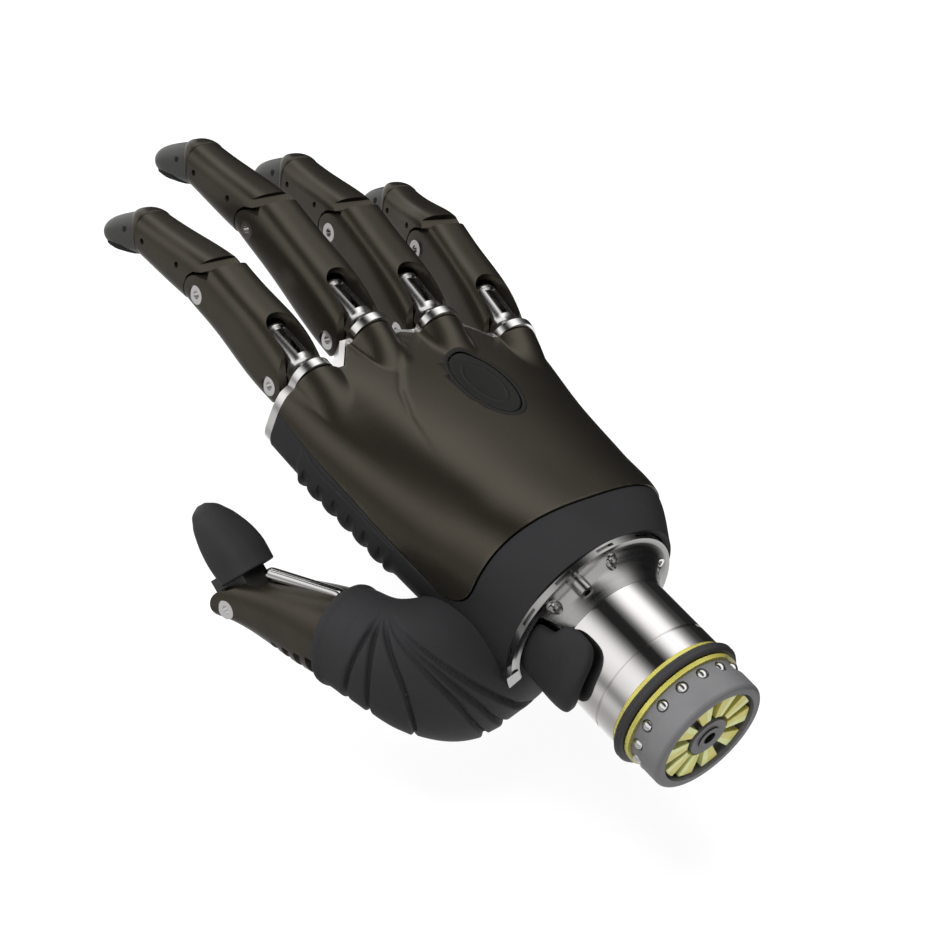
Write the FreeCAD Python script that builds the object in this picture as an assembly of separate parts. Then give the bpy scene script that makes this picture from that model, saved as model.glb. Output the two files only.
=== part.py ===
"""Bionic prosthetic hand, right side, at its real size in millimetres.

The origin is the centre of the wrist coupling's end face. +Y runs along the
wrist to the fingers, +Z leaves the back of the hand and +X points to the
little finger. The hand is modelled nearly open, as it stands at rest.
"""
import FreeCAD
import Part
import math
import os

Vec = FreeCAD.Vector
Turn = FreeCAD.Rotation
X_AXIS = Vec(1, 0, 0)
Y_AXIS = Vec(0, 1, 0)
Z_AXIS = Vec(0, 0, 1)

# a length beyond every part of the hand, and how far a hole runs past its ends
FAR = 120.0
PAST = 1.0

# clearances
RUN = 0.05
SLIDE = 0.08
GAP = 0.4
PANEL_GAP = 0.3

# quick-disconnect wrist coupling
DRUM_R = 16.2
DRUM_L = 9.6
DRUM_EDGE = 1.2
DRUM_WALL = 2.6
SEAT_END = 5.8
RACE_DROP = 0.25
END_RECESS = 2.8
HUB_R = 5.4
HUB_BACK = 0.4
PLUG_R = 3.2
PLUG_L = 12.0
PLUG_BORE_R = 1.75
PLUG_BORE_L = 8.0
BALL_COUNT = 16
BALL_R = 1.5
BALL_PROUD = 0.45
BALL_Y = 7.6
WEDGE_COUNT = 10
WEDGE_H = 2.0
WEDGE_SHARE = 0.62
WEDGE_INSET = 0.8
BAND_R = DRUM_R + 0.7
BAND_W = 1.2
SEAL_R = DRUM_R + 2.2
SEAL_W = 2.6
SEAL_EDGE = 0.9
SHAFT_R = 11.0
SHAFT_END = 31.0
CLIP_W = 1.2
CLIP_R = SHAFT_R + 1.7
CLIP_GROOVE_R = SHAFT_R - 1.4
CLIP_HALF_GAP = 2.5
BUSH_WALL = 1.5
BUSH_L = 12.0

# wrist barrel and its saucer-shaped flange
BARREL_R = DRUM_R + 0.8
BARREL_LINE_Y = 20.5
BARREL_LINE_DEPTH = 0.5
BARREL_LINE_W = 0.8
BARREL_BORE_R = SHAFT_R + 2.6
BARREL_FLOOR_Y = 36.0
WRIST_Y = 45.6
FLANGE_R = BARREL_R + 7.5
FLANGE_L = 8.6
FLANGE_RIM_T = 2.0
FLANGE_LIP = 1.2
FLANGE_SAG = 1.4
FLANGE_RIM_SLOTS = 9
FLANGE_SLOT_L = 5.0
FLANGE_SLOT_W = 0.8
FLANGE_SLOT_DEPTH = 1.0
FLANGE_CUT_FROM = 218.0
FLANGE_CUT_TO = 300.0
FLANGE_SCREW_R = 1.8
FLANGE_SCREW_L = 2.6
FLANGE_SCREW_ANGLES = (35.0, 100.0, 150.0)
FLANGE_SCREW_PITCH_R = FLANGE_R - 3.7
FLANGE_BOSS_ANGLE = 128.0
FLANGE_BOSS_R = 2.0
FLANGE_BOSS_L = 6.4
FLANGE_BOSS_HOLE_R = 1.0
FLANGE_LUG_FROM = 207.0
FLANGE_LUG_L = 2.4
FLANGE_LUG_PROUD = 1.8

# heel bumper: a fin on the thumb side, outlined by angle and by distance behind the palm's rear end
BUMPER_IN_R = BARREL_R + 1.2
BUMPER_R = BARREL_R + 5.0
BUMPER_BAY_FROM = 160.0
BUMPER_BAY_TO = 231.0
BUMPER_OUTLINE = (
    (150.0, 12.1), (152.0, 16.6), (163.0, 19.0), (183.0, 19.6), (200.0, 19.4), (214.0, 17.6),
    (221.0, 13.6), (218.0, 7.6), (212.0, 0.0), (173.0, 0.0), (163.0, 6.4), (153.0, 8.6),
)

# palm
PALM_LENGTH = 92.0
KNUCKLE_Y = WRIST_Y + PALM_LENGTH
PALM_WALL = 2.4
COVER_PROUD = 0.4
COVER_REAR_Y = WRIST_Y + 14.4
COVER_CORNER_R = 14.0
PART_LINE_Z = -0.5
PART_LINE_RISE = 0.09
WRIST_END_SIDE = 0.5
# stations of the palm's outside: share of its length, centre x, half width, low, high, squareness
PALM_STATIONS = (
    (0.00, 1.0, FLANGE_R + WRIST_END_SIDE, -FLANGE_R, FLANGE_R, 2.3),
    (0.14, 3.5, 30.0, -22.0, 24.0, 2.8),
    (0.32, 2.5, 33.8, -18.5, 22.8, 2.8),
    (0.54, 1.5, 37.0, -14.0, 22.0, 2.8),
    (0.73, 1.5, 40.0, -10.5, 21.2, 3.0),
    (0.88, 2.0, 41.5, -8.0, 20.2, 3.2),
    (1.02, 2.0, 41.8, -7.2, 19.4, 3.2),
)
RIB_COUNT = 7
RIB_FIRST_Y = WRIST_Y + 38.4
RIB_PITCH = 4.6
RIB_W = 2.4
RIB_PROUD = 1.1
RIB_INNER_X = -24.0
RIB_LOW = -14.0
RIB_HIGH = -1.0
RIB_RISE = 0.07

# program button on the back of the hand
BUTTON_X = 8.0
BUTTON_Y = KNUCKLE_Y - 32.6
BUTTON_L = 24.0
BUTTON_W = 14.0
BUTTON_T = 3.4
BUTTON_EDGE = 0.6
BUTTON_PROUD = 0.5
BUTTON_TRAVEL = 1.0
SWITCH_SIDE = 6.0

# frame, board and motors inside the palm
KNUCKLE_BACK = 7.8
KNUCKLE_MARGIN = 0.5
# how far the knuckle line falls back beyond the index and the little finger
KNUCKLE_FALLS = (30.0, 40.0)
KNUCKLE_WALL = 2.6
SPINE_Z = -4.4
SPINE_T = 2.4
SPINE_HALF_W = 17.0
REAR_PLATE_T = 3.0
REAR_PLATE_R = FLANGE_R - 4.5
MOTOR_R = 5.0
MOTOR_XS = (-24.0, -8.0, 8.0, 24.0)
MOTOR_REAR_SHARE = 0.326087
MOTOR_REAR_Y = WRIST_Y + MOTOR_REAR_SHARE * PALM_LENGTH
MOTOR_Z = 3.6
BOARD_Z = 13.2
BOARD_T = 1.4
BOARD_HALF_W = 15.0
BOARD_X = 5.5
BOARD_L = 40.0
BOARD_Y = BUTTON_Y - 29.0
POST_R = 1.6
POST_XS = (0.0, 16.0)
POST_INSET = 3.0

# slotted drive tube of a finger, its push rod and the crank it drives
TUBE_R = 4.0
TUBE_UP = TUBE_R + 1.6
TUBE_FRONT = 12.0
TUBE_REAR = 9.5
TUBE_EDGE = 1.6
TUBE_CAP_T = 2.4
TUBE_CAP_GAP = 0.6
TUBE_CAP_NECK = 0.7
TUBE_SLOT_HALF_W = 1.5
TUBE_SLOT_REAR = 5.5
FLARE_BASE = 2.1
FLARE_END = 0.3
FLARE_Y = -0.6
ROD_R = TUBE_R - 1.0
ROD_BACK = 8.6
ROD_AHEAD = 5.2
ROD_PIN_R = 1.0
ROD_PIN_INSET = 0.4
CRANK_ANGLE = 130.0
CRANK_W = 5.4
CRANK_SLOT_W = 3.2
CRANK_SLOT_L = 4.3
CRANK_END = 1.2
KNUCKLE_TRAVEL = 75.0
RIDGE_R = TUBE_R + 3.0
RIDGE_END_R = 3.2
RIDGE_L = 36.0
RIDGE_DROP = 5.0

# fingers: knuckle pivot, splay, rise, segment lengths and a girth factor
FINGERS = {
    "index": dict(
        at=(-29.5, KNUCKLE_Y - 5.1, 10.5), splay=2.0, rise=4.0, lp=33.5, lm=29.0, lt=17.5, girth=1.0),
    "middle": dict(
        at=(-8.0, KNUCKLE_Y + 0.4, 15.0), splay=3.0, rise=7.0, lp=39.5, lm=29.5, lt=18.0, girth=1.0),
    "ring": dict(
        at=(13.0, KNUCKLE_Y - 3.1, 14.5), splay=8.0, rise=4.5, lp=37.0, lm=26.5, lt=17.5, girth=0.97),
    "little": dict(
        at=(33.5, KNUCKLE_Y - 11.6, 12.0), splay=12.0, rise=4.0, lp=35.0, lm=21.0, lt=15.0, girth=0.9),
}
REST_BEND = 13.0
TIP_BEND = 24.0
FINGER_HALF_W = 7.5
FINGER_WALL = 2.0
PROX_LOW = -5.6
PROX_HIGH = TUBE_UP + TUBE_R + 1.0
PROX_SQUARE = 3.2
CHEEK_X = 4.3
EAR_R = 4.2
PIP_EAR_R = 5.0
PIN_R = 1.5
PIN_HEAD_R = PIN_R + 1.0
PIN_HEAD_T = 1.2
PIN_INSET = 0.6
PIN_SOCKET_R = 1.1
PIN_SOCKET_L = 0.8
LUG_INNER_X = 1.7
LUG_OUTER_X = 3.9
LUG_R = 3.9
LUG_TOP = 1.2
WEB_HALF_T = 1.3
WEB_R = 3.4
WEB_L = 18.0
WEB_BOTTOM = PROX_LOW + 0.8
WEB_TOP = -0.8
TONGUE_HALF_W = 3.9
NECK_L = 9.0
NECK_LOW = -4.2
NECK_HIGH = 6.0
NOTCH_HALF_W = TUBE_R + 0.6
NOTCH_STRAIGHT = TUBE_FRONT - 3.0
KNUCKLE_BAY_END = 6.5
KNUCKLE_BAY_TOP = 3.5
PIP_BAY_L = 7.5
PIP_BAY_TOP = 4.0
MIDDLE_WAIST = 0.853
VENT_R = 0.8
VENT_L = 1.2
VENTS = ((0.34, 3.2), (0.87, 1.4))
# side outline of a proximal segment as (y, z): its rear from the knuckle, its front from the middle pivot
PROX_REAR = ((4.0, 14.0), (1.0, 8.6), (-3.2, 2.7), (-1.0, -4.0), (4.5, PROX_LOW - PAST))
PROX_FRONT = ((0.0, PROX_LOW - PAST), (1.0, 5.0), (-1.6, 6.2), (-0.2, 8.0), (-2.6, 14.0))
# side outline of a middle segment's rear end from its pivot
MIDDLE_REAR = ((5.6, -9.0), (5.6, 0.0), (5.0, 2.8), (3.2, 4.9), (0.4, 6.1), (2.0, 7.4), (-0.6, 14.0))

# thumb
CUFF = (-43.0, WRIST_Y + 30.3, -21.0)
THUMB_YAW = 10.0
THUMB_PITCH = 18.0
THUMB_L = 34.0
THUMB_CUFF_R = 11.2
THUMB_END_HALF_W = 7.8
THUMB_WALL = 2.2
THUMB_SPACE_FROM = 3.0
THUMB_SPACE_SHARE = 0.72
THUMB_FORK_SHARE = 0.74
THUMB_EAR_R = 4.8
THUMB_TIP_BEND = 47.0
# side outline of the thumb's front end from its tip's pivot
THUMB_FRONT = ((1.0, 4.6), (-3.0, 7.0), (-4.0, 23.0))
IP_DROP = 3.0
THUMB_SLOTS = 4
THUMB_SLOT_W = 2.4
THUMB_SLOT_PITCH = 4.2
THUMB_SLOT_FIRST = 3.4
THUMB_SLOT_TOP = -3.2
THUMB_SLOT_FALL = 0.6
THUMB_ROD_R = 1.5
THUMB_ROD_FROM = 1.5
THUMB_ROD_DEPTH = 2.6
THUMB_ROD_SHORT = 0.12
THUMB_ROD_BEHIND = 5.5
THUMB_ROD_ABOVE = 8.6
# sections of the thumb's cap from its pivot: y, centre x, half width, low, high, squareness
THUMB_CAP = (
    (5.6, 0, 6.8, -1.2, 13.0, 2.4),
    (11.5, 0, 7.2, -1.6, 12.6, 2.4),
    (17.5, 0, 6.4, -1.4, 10.6, 2.3),
    (22.0, 0, 4.9, -0.4, 7.8, 2.2),
    (24.6, 0, 3.0, 1.0, 5.4, 2.1),
    (25.5, 0, 1.3, 2.2, 4.0, 2.0),
)
CORE_L = 8.0
CORE_LOW = -3.4
CORE_HIGH = 8.0
BEND_BACK = 5.5
BEND_DROP = 2.8
BEND_EYE_R = 4.2
BEND_EYE_HALF_W = 3.4
BEND_ARM_END = 1.5
CLEVIS_INNER = 3.8
CLEVIS_OUTER = 6.4
CLEVIS_INSET = 0.2
SWING_SHAFT_R = 3.6
SWING_BEARING_FROM = 9.6
SWING_BEARING_L = 6.0
SWING_BEARING_R = 5.6
SWING_SHAFT_L = 16.4
SWING_SHAFT_FRONT = 6.0
BRACKET_FOOT_L = 40.0
BRACKET_FOOT_LOW = -3.5
BRACKET_FOOT_HIGH = 5.0
BOOT_WALL = 1.6
BOOT_SQUARE = 2.2
# boot rings from the cuff to the heel: centre, heading, pitch, half width, half height
BOOT_RINGS = (
    (CUFF, THUMB_YAW, -THUMB_PITCH, 13.0, 13.0),
    ((-41.0, WRIST_Y + 22.4, -20.5), 26.0, -10.0, 14.2, 14.8),
    ((-33.0, WRIST_Y + 16.9, -22.0), 54.0, 0.0, 15.8, 17.6),
    ((-17.5, WRIST_Y + 16.9, -24.5), 80.0, 0.0, 16.6, 20.6),
    ((-3.0, WRIST_Y + 17.9, -21.5), 90.0, 0.0, 16.8, 19.5),
)


def oval_points(half_w, half_h, power, count):
    """Points (x, z) of a superellipse about its middle."""
    points = []
    for i in range(count):
        a = 2 * math.pi * i / count
        c = math.cos(a)
        s = math.sin(a)
        x = half_w * math.copysign(abs(c) ** (2 / power), c)
        z = half_h * math.copysign(abs(s) ** (2 / power), s)
        points.append((x, z))
    return points


def oval_wire(y, cx, half_w, low, high, power, count=28):
    """A closed smooth section across Y: a superellipse between two heights."""
    middle = 0.5 * (low + high)
    points = [Vec(cx + x, y, middle + z) for x, z in oval_points(half_w, 0.5 * (high - low), power, count)]
    curve = Part.BSplineCurve()
    curve.interpolate(points, PeriodicFlag=True)
    return Part.Wire([curve.toShape()])


def loft(sections, grow=0.0):
    """A solid through sections (y, centre x, half width, low, high, squareness), grown all round."""
    wires = []
    for y, cx, half_w, low, high, power in sections:
        wires.append(oval_wire(y, cx, half_w + grow, low - grow, high + grow, power))
    return Part.makeLoft(wires, True, False)


def polar(r, degrees, y):
    """A point at a radius and an angle about the wrist axis, from +X towards +Z."""
    a = math.radians(degrees)
    return Vec(r * math.cos(a), y, r * math.sin(a))


def rod(start, axis, radius, length):
    return Part.makeCylinder(radius, length, start, axis)


def cross_rod(y, z, radius, half_w=FAR):
    """A cylinder across a finger, along X, centred on it."""
    return rod(Vec(-half_w, y, z), X_AXIS, radius, 2 * half_w)


def block(x0, x1, y0, y1, z0, z1):
    return Part.makeBox(x1 - x0, y1 - y0, z1 - z0, Vec(x0, y0, z0))


def slab(half_w, y0, y1, z0, z1):
    """A block centred across X."""
    return block(-half_w, half_w, y0, y1, z0, z1)


def side_prism(points, x0, x1):
    """A prism along X over a closed outline of (y, z) points."""
    corners = [Vec(x0, y, z) for y, z in points]
    face = Part.Face(Part.makePolygon(corners + corners[:1]))
    return face.extrude(Vec(x1 - x0, 0, 0))


def turned(profile, arcs=None):
    """A solid of revolution about Y from (radius, y) points; arcs gives the middle of a curved side."""
    arcs = arcs or {}
    corners = [Vec(r, y, 0) for r, y in profile]
    edges = []
    for i, start in enumerate(corners):
        end = corners[(i + 1) % len(corners)]
        if i in arcs:
            edges.append(Part.Arc(start, Vec(*arcs[i], 0), end).toShape())
        else:
            edges.append(Part.makeLine(start, end))
    return Part.Face(Part.Wire(edges)).revolve(Vec(), Y_AXIS, 360)


def ring_of(r0, r1, y0, y1):
    return turned([(r0, y0), (r1, y0), (r1, y1), (r0, y1)])


def sector(r0, r1, a0, a1, y0, y1):
    """A slice of a ring about the wrist axis, between two angles and two planes."""
    a, b = polar(r0, a0, y0), polar(r1, a0, y0)
    c, d = polar(r1, a1, y0), polar(r0, a1, y0)
    middle = 0.5 * (a0 + a1)
    edges = [
        Part.makeLine(a, b),
        Part.Arc(b, polar(r1, middle, y0), c).toShape(),
        Part.makeLine(c, d),
        Part.Arc(d, polar(r0, middle, y0), a).toShape(),
    ]
    return Part.Face(Part.Wire(edges)).extrude(Vec(0, y1 - y0, 0))


def fused(shapes):
    first, *rest = shapes
    return first.multiFuse(rest).removeSplitter() if rest else first


def largest(shape):
    return max(shape.Solids, key=lambda solid: solid.Volume)


def save(name, *shapes):
    """Writes the solids of one node."""
    solids = [solid for shape in shapes for solid in shape.Solids]
    whole = solids[0] if len(solids) == 1 else Part.makeCompound(solids)
    whole.exportStep(f"parts/{name}.step")
    print(name, len(solids), "solids", "%.1f mm3" % whole.Volume)


PALM_SECTIONS = [(WRIST_Y + PALM_LENGTH * share, *rest) for share, *rest in PALM_STATIONS]


def palm_solid(grow=0.0):
    return loft(PALM_SECTIONS, grow)


def palm_space():
    """The palm's hollow, run out past both ends of the shells."""
    first, last = PALM_SECTIONS[0], PALM_SECTIONS[-1]
    rear = (first[0] - 2 * PAST, *first[1:])
    front = (last[0] + 2 * PAST, *last[1:])
    return loft([rear, *PALM_SECTIONS[1:-1], front], -PALM_WALL)


def chassis_frame_of(spec):
    """The place of a knuckle: turned by its splay only."""
    return FreeCAD.Placement(Vec(*spec["at"]), Turn(Z_AXIS, -spec["splay"]))


def proximal_frame_of(spec):
    """The place of a proximal segment at rest."""
    turn = Turn(Z_AXIS, -spec["splay"]) * Turn(X_AXIS, spec["rise"])
    return FreeCAD.Placement(Vec(*spec["at"]), turn)


def middle_frame_of(spec):
    """The place of a middle segment at rest, at its own pivot."""
    proximal = proximal_frame_of(spec)
    turn = proximal.Rotation * Turn(X_AXIS, -REST_BEND)
    return FreeCAD.Placement(proximal.multVec(Vec(0, spec["lp"], 0)), turn)


def placed(shape, frame):
    moved = shape.copy()
    moved.Placement = frame.multiply(moved.Placement)
    return moved


def front_block(ahead):
    """All space behind the knuckle line, which has one straight stretch per finger."""
    half = FINGER_HALF_W + KNUCKLE_MARGIN
    line = []
    for spec in FINGERS.values():
        frame = chassis_frame_of(spec)
        for side in (-half, half):
            line.append(frame.multVec(Vec(side, ahead - KNUCKLE_BACK, 0)))
    first, last = line[0], line[-1]
    index_fall, little_fall = KNUCKLE_FALLS
    line = [Vec(-FAR, first.y - index_fall, 0), *line, Vec(FAR, last.y - little_fall, 0)]
    corners = [Vec(p.x, p.y, -FAR) for p in line]
    corners += [Vec(FAR, -FAR, -FAR), Vec(-FAR, -FAR, -FAR)]
    face = Part.Face(Part.makePolygon(corners + corners[:1]))
    return face.extrude(Vec(0, 0, 2 * FAR))


def part_z(y, grow):
    """The height of the parting line between the cover and the palm's shell."""
    return PART_LINE_Z + PART_LINE_RISE * (y - COVER_REAR_Y) - grow


def cover_prism(grow=0.0):
    """The region of the dorsal cover: above the parting line, with a round rear corner."""
    rear = COVER_REAR_Y - grow
    r = COVER_CORNER_R
    low = part_z(rear, grow)
    start = Vec(-FAR, rear, low + r)
    cut = r * (1 - math.sqrt(0.5))
    bend = Vec(-FAR, rear + cut, part_z(rear + cut, grow) + cut)
    end = Vec(-FAR, rear + r, part_z(rear + r, grow))
    far_low = Vec(-FAR, 2 * FAR, part_z(2 * FAR, grow))
    far_high = Vec(-FAR, 2 * FAR, FAR)
    near_high = Vec(-FAR, rear, FAR)
    edges = [Part.Arc(start, bend, end).toShape()]
    for a, b in ((end, far_low), (far_low, far_high), (far_high, near_high), (near_high, start)):
        edges.append(Part.makeLine(a, b))
    return Part.Face(Part.Wire(edges)).extrude(Vec(2 * FAR, 0, 0))


def knuckle_ridge(spec, shrink=0.0):
    """The raised ridge behind a knuckle: a cone that sinks into the back of the hand."""
    frame = chassis_frame_of(spec)
    front = frame.multVec(Vec(0, 0, TUBE_UP))
    rear = frame.multVec(Vec(0, -RIDGE_L, TUBE_UP - RIDGE_DROP))
    end_r = RIDGE_END_R - 0.5 * shrink
    return Part.makeCone(RIDGE_R - shrink, end_r, RIDGE_L, front, rear - front)


def oval_plate(length, width, z0, z1):
    """An upright oval plate at the button's place, its long axis along Y."""
    centre = Vec(BUTTON_X, BUTTON_Y, z0)
    ellipse = Part.Ellipse(centre, 0.5 * length, 0.5 * width)
    ellipse.rotate(FreeCAD.Placement(centre, Turn(Z_AXIS, 90)))
    return Part.Face(Part.Wire([ellipse.toShape()])).extrude(Vec(0, 0, z1 - z0))


def surface_z(x, y):
    """The height of the dorsal cover's outside above a point of the palm."""
    probe = Part.makeLine(Vec(x, y, 0), Vec(x, y, FAR)).common(palm_solid(COVER_PROUD))
    return probe.BoundBox.ZMax


def make_coupling():
    floor = END_RECESS
    inner_r = DRUM_R - DRUM_WALL
    race_r = DRUM_R - RACE_DROP
    drum = turned([
        (0, floor), (inner_r, floor), (inner_r, 0), (DRUM_R, 0), (DRUM_R, SEAT_END), (race_r, SEAT_END),
        (race_r, DRUM_L), (SHAFT_R, DRUM_L), (SHAFT_R, SHAFT_END), (0, SHAFT_END),
    ])
    rim = [e for e in drum.Edges if abs(e.BoundBox.YMax) < RUN and e.BoundBox.XMax > race_r]
    drum = drum.makeFillet(DRUM_EDGE, rim)
    hub = rod(Vec(0, HUB_BACK, 0), Y_AXIS, HUB_R, floor)
    clip_y = DRUM_L + 2 * BAND_W + SEAL_W + BUSH_L + 2 * PANEL_GAP
    body = drum.fuse(hub).cut(ring_of(CLIP_GROOVE_R, FAR, clip_y, clip_y + CLIP_W))
    body = body.cut(rod(Vec(0, -PAST, 0), Y_AXIS, PLUG_R, PLUG_L + PAST))
    balls = []
    for i in range(BALL_COUNT):
        angle = 360.0 * (i + 0.5) / BALL_COUNT
        centre_r = DRUM_R + BALL_PROUD - BALL_R
        balls.append(Part.makeSphere(BALL_R, polar(centre_r, angle, BALL_Y)))
        pocket = rod(polar(centre_r - BALL_R, angle, BALL_Y), polar(1, angle, 0), BALL_R + RUN, 3 * BALL_R)
        body = body.cut(pocket)
    save("coupling_drum", body)
    save("coupling_balls", *balls)
    wedges = []
    step = 360.0 / WEDGE_COUNT
    for i in range(WEDGE_COUNT):
        from_a, to_a = step * i, step * (i + WEDGE_SHARE)
        wedges.append(sector(
            HUB_R + WEDGE_INSET, inner_r - WEDGE_INSET, from_a, to_a, floor - WEDGE_H, floor))
    save("coupling_wedges", *wedges)
    plug = rod(Vec(), Y_AXIS, PLUG_R, PLUG_L)
    save("coax_plug", plug.cut(rod(Vec(0, -PAST, 0), Y_AXIS, PLUG_BORE_R, PLUG_BORE_L + PAST)))
    clip = ring_of(CLIP_GROOVE_R, CLIP_R, clip_y, clip_y + CLIP_W)
    save("shaft_circlip", clip.cut(slab(CLIP_HALF_GAP, 0, FAR, 0, FAR)))


def make_wrist():
    front_y = DRUM_L + BAND_W
    save("friction_band", ring_of(SHAFT_R, BAND_R, DRUM_L, front_y))
    seal_y = front_y + PANEL_GAP
    seal = ring_of(SHAFT_R + GAP, SEAL_R, seal_y, seal_y + SEAL_W)
    outer = [e for e in seal.Edges if e.BoundBox.XMax > SEAL_R - RUN and e.Closed]
    save("wrist_seal", seal.makeFillet(SEAL_EDGE, outer))
    band_y = seal_y + SEAL_W
    barrel_y = band_y + BAND_W
    save("band_rear", ring_of(SHAFT_R + GAP, BAND_R, band_y, barrel_y))
    bush_r = SHAFT_R + RUN + BUSH_WALL
    bush_end = barrel_y + BUSH_L
    save("wrist_bush", ring_of(SHAFT_R + RUN, bush_r, barrel_y, bush_end))
    line_r = BARREL_R - BARREL_LINE_DEPTH
    line_end = BARREL_LINE_Y + BARREL_LINE_W
    barrel = turned([
        (bush_r, barrel_y), (BARREL_R, barrel_y), (BARREL_R, BARREL_LINE_Y), (line_r, BARREL_LINE_Y),
        (line_r, line_end), (BARREL_R, line_end), (BARREL_R, WRIST_Y), (0, WRIST_Y), (0, BARREL_FLOOR_Y),
        (BARREL_BORE_R, BARREL_FLOOR_Y), (BARREL_BORE_R, bush_end), (bush_r, bush_end),
    ])
    save("wrist_barrel", barrel)
    make_flange()
    save("heel_bumper", bumper_fin())


def make_flange():
    """The saucer-shaped flange: slotted rim, a boss, a lug, sunk screws and an open side at the heel."""
    inner_r = BARREL_R + RUN
    rear_y = WRIST_Y - FLANGE_L
    rim_y = WRIST_Y - FLANGE_RIM_T
    lip_r = FLANGE_R - FLANGE_LIP
    chord = Vec(lip_r - inner_r, rim_y - rear_y, 0)
    bow = Vec(-chord.y, chord.x, 0).normalize() * FLANGE_SAG
    middle = Vec(inner_r, rear_y, 0) + chord * 0.5 + bow
    flange = turned([
        (inner_r, rear_y), (lip_r, rim_y), (FLANGE_R, rim_y), (FLANGE_R, WRIST_Y), (inner_r, WRIST_Y),
    ], {0: (middle.x, middle.y)})
    pitch_r = FLANGE_SCREW_PITCH_R
    boss_at = polar(pitch_r, FLANGE_BOSS_ANGLE, WRIST_Y - FLANGE_BOSS_L)
    boss = rod(boss_at, Y_AXIS, FLANGE_BOSS_R, FLANGE_BOSS_L)
    lug = sector(
        FLANGE_R - FLANGE_LUG_PROUD, FLANGE_R + FLANGE_LUG_PROUD, FLANGE_LUG_FROM, FLANGE_CUT_FROM,
        WRIST_Y - FLANGE_LUG_L, WRIST_Y)
    flange = flange.fuse(boss).fuse(lug)
    cuts = [
        sector(BARREL_R - PAST, FAR, FLANGE_CUT_FROM, FLANGE_CUT_TO, rear_y - PAST, WRIST_Y + PAST),
        sector(
            BARREL_R - PAST, BUMPER_R + PANEL_GAP, BUMPER_BAY_FROM, BUMPER_BAY_TO,
            rear_y - PAST, WRIST_Y + PAST),
        rod(boss_at, Y_AXIS, FLANGE_BOSS_HOLE_R, FAR),
    ]
    slot_y = WRIST_Y - 0.5 * (FLANGE_RIM_T + FLANGE_SLOT_W)
    half = math.degrees(0.5 * FLANGE_SLOT_L / FLANGE_R)
    span = 360 + FLANGE_LUG_FROM - FLANGE_CUT_TO
    for i in range(FLANGE_RIM_SLOTS):
        angle = FLANGE_CUT_TO + span * (i + 0.5) / FLANGE_RIM_SLOTS
        cuts.append(sector(
            FLANGE_R - FLANGE_SLOT_DEPTH, FAR, angle - half, angle + half, slot_y, slot_y + FLANGE_SLOT_W))
    screws = []
    for angle in FLANGE_SCREW_ANGLES:
        cuts.append(rod(polar(pitch_r, angle, rear_y), Y_AXIS, FLANGE_SCREW_R, FLANGE_L))
        head = polar(pitch_r, angle, WRIST_Y - FLANGE_SCREW_L)
        screw = rod(head, Y_AXIS, FLANGE_SCREW_R, FLANGE_SCREW_L)
        screws.append(screw.cut(rod(head, Y_AXIS, PIN_SOCKET_R, PIN_SOCKET_L)))
    for cut in cuts:
        flange = flange.cut(cut)
    save("wrist_flange", flange)
    save("flange_screws", *screws)


def bumper_fin():
    """The heel bumper: a curved plate about the barrel, cut to its outline."""
    angles = [angle for angle, _ in BUMPER_OUTLINE]
    lengths = [back for _, back in BUMPER_OUTLINE]
    plate = sector(BUMPER_IN_R, BUMPER_R, min(angles), max(angles), WRIST_Y - max(lengths), WRIST_Y)
    outline = []
    for angle, back in BUMPER_OUTLINE:
        point = polar(BUMPER_R, angle, WRIST_Y - back)
        outline.append((point.y, point.z))
    return plate.common(side_prism(outline, -FAR, 0))


def make_palm():
    """The two shells of the palm, the grip ribs and the button; gives the height of the button's top."""
    space = palm_space()
    behind = front_block(0.0)
    raised = fused([palm_solid(COVER_PROUD), *(knuckle_ridge(spec) for spec in FINGERS.values())])
    cover = raised.common(behind).common(cover_prism()).cut(space)
    tail_y = rod_y(0.0) - ROD_BACK - PAST
    for spec in FINGERS.values():
        frame = chassis_frame_of(spec)
        channel = rod(Vec(0, -TUBE_REAR - PAST, TUBE_UP), Y_AXIS, TUBE_R + PANEL_GAP, FAR)
        tail = rod(Vec(0, tail_y, TUBE_UP), Y_AXIS, ROD_R + PANEL_GAP, FAR)
        cover = cover.cut(knuckle_ridge(spec, PALM_WALL - 2 * COVER_PROUD))
        cover = cover.cut(placed(channel, frame)).cut(placed(tail, frame))
    top = surface_z(BUTTON_X, BUTTON_Y)
    hole = oval_plate(BUTTON_L + 2 * PANEL_GAP, BUTTON_W + 2 * PANEL_GAP, top - BUTTON_L, top + BUTTON_L)
    save("dorsal_cover", largest(cover).cut(hole))
    save("palm_shell", palm_solid().common(behind).cut(space).cut(cover_prism(PANEL_GAP)))
    ribs = []
    for i in range(RIB_COUNT):
        y = RIB_FIRST_Y + RIB_PITCH * i
        ribs.append(block(-FAR, RIB_INNER_X, y, y + RIB_W, RIB_LOW, RIB_HIGH + RIB_RISE * RIB_PITCH * i))
    coat = palm_solid(RIB_PROUD).cut(palm_solid(RUN))
    save("grip_ribs", coat.common(Part.makeCompound(ribs)))
    button_top = top + BUTTON_PROUD
    button = oval_plate(BUTTON_L, BUTTON_W, button_top - BUTTON_T, button_top)
    edge = [e for e in button.Edges if e.BoundBox.ZMin > button_top - RUN]
    save("program_button", button.makeFillet(BUTTON_EDGE, edge))
    return button_top


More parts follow.
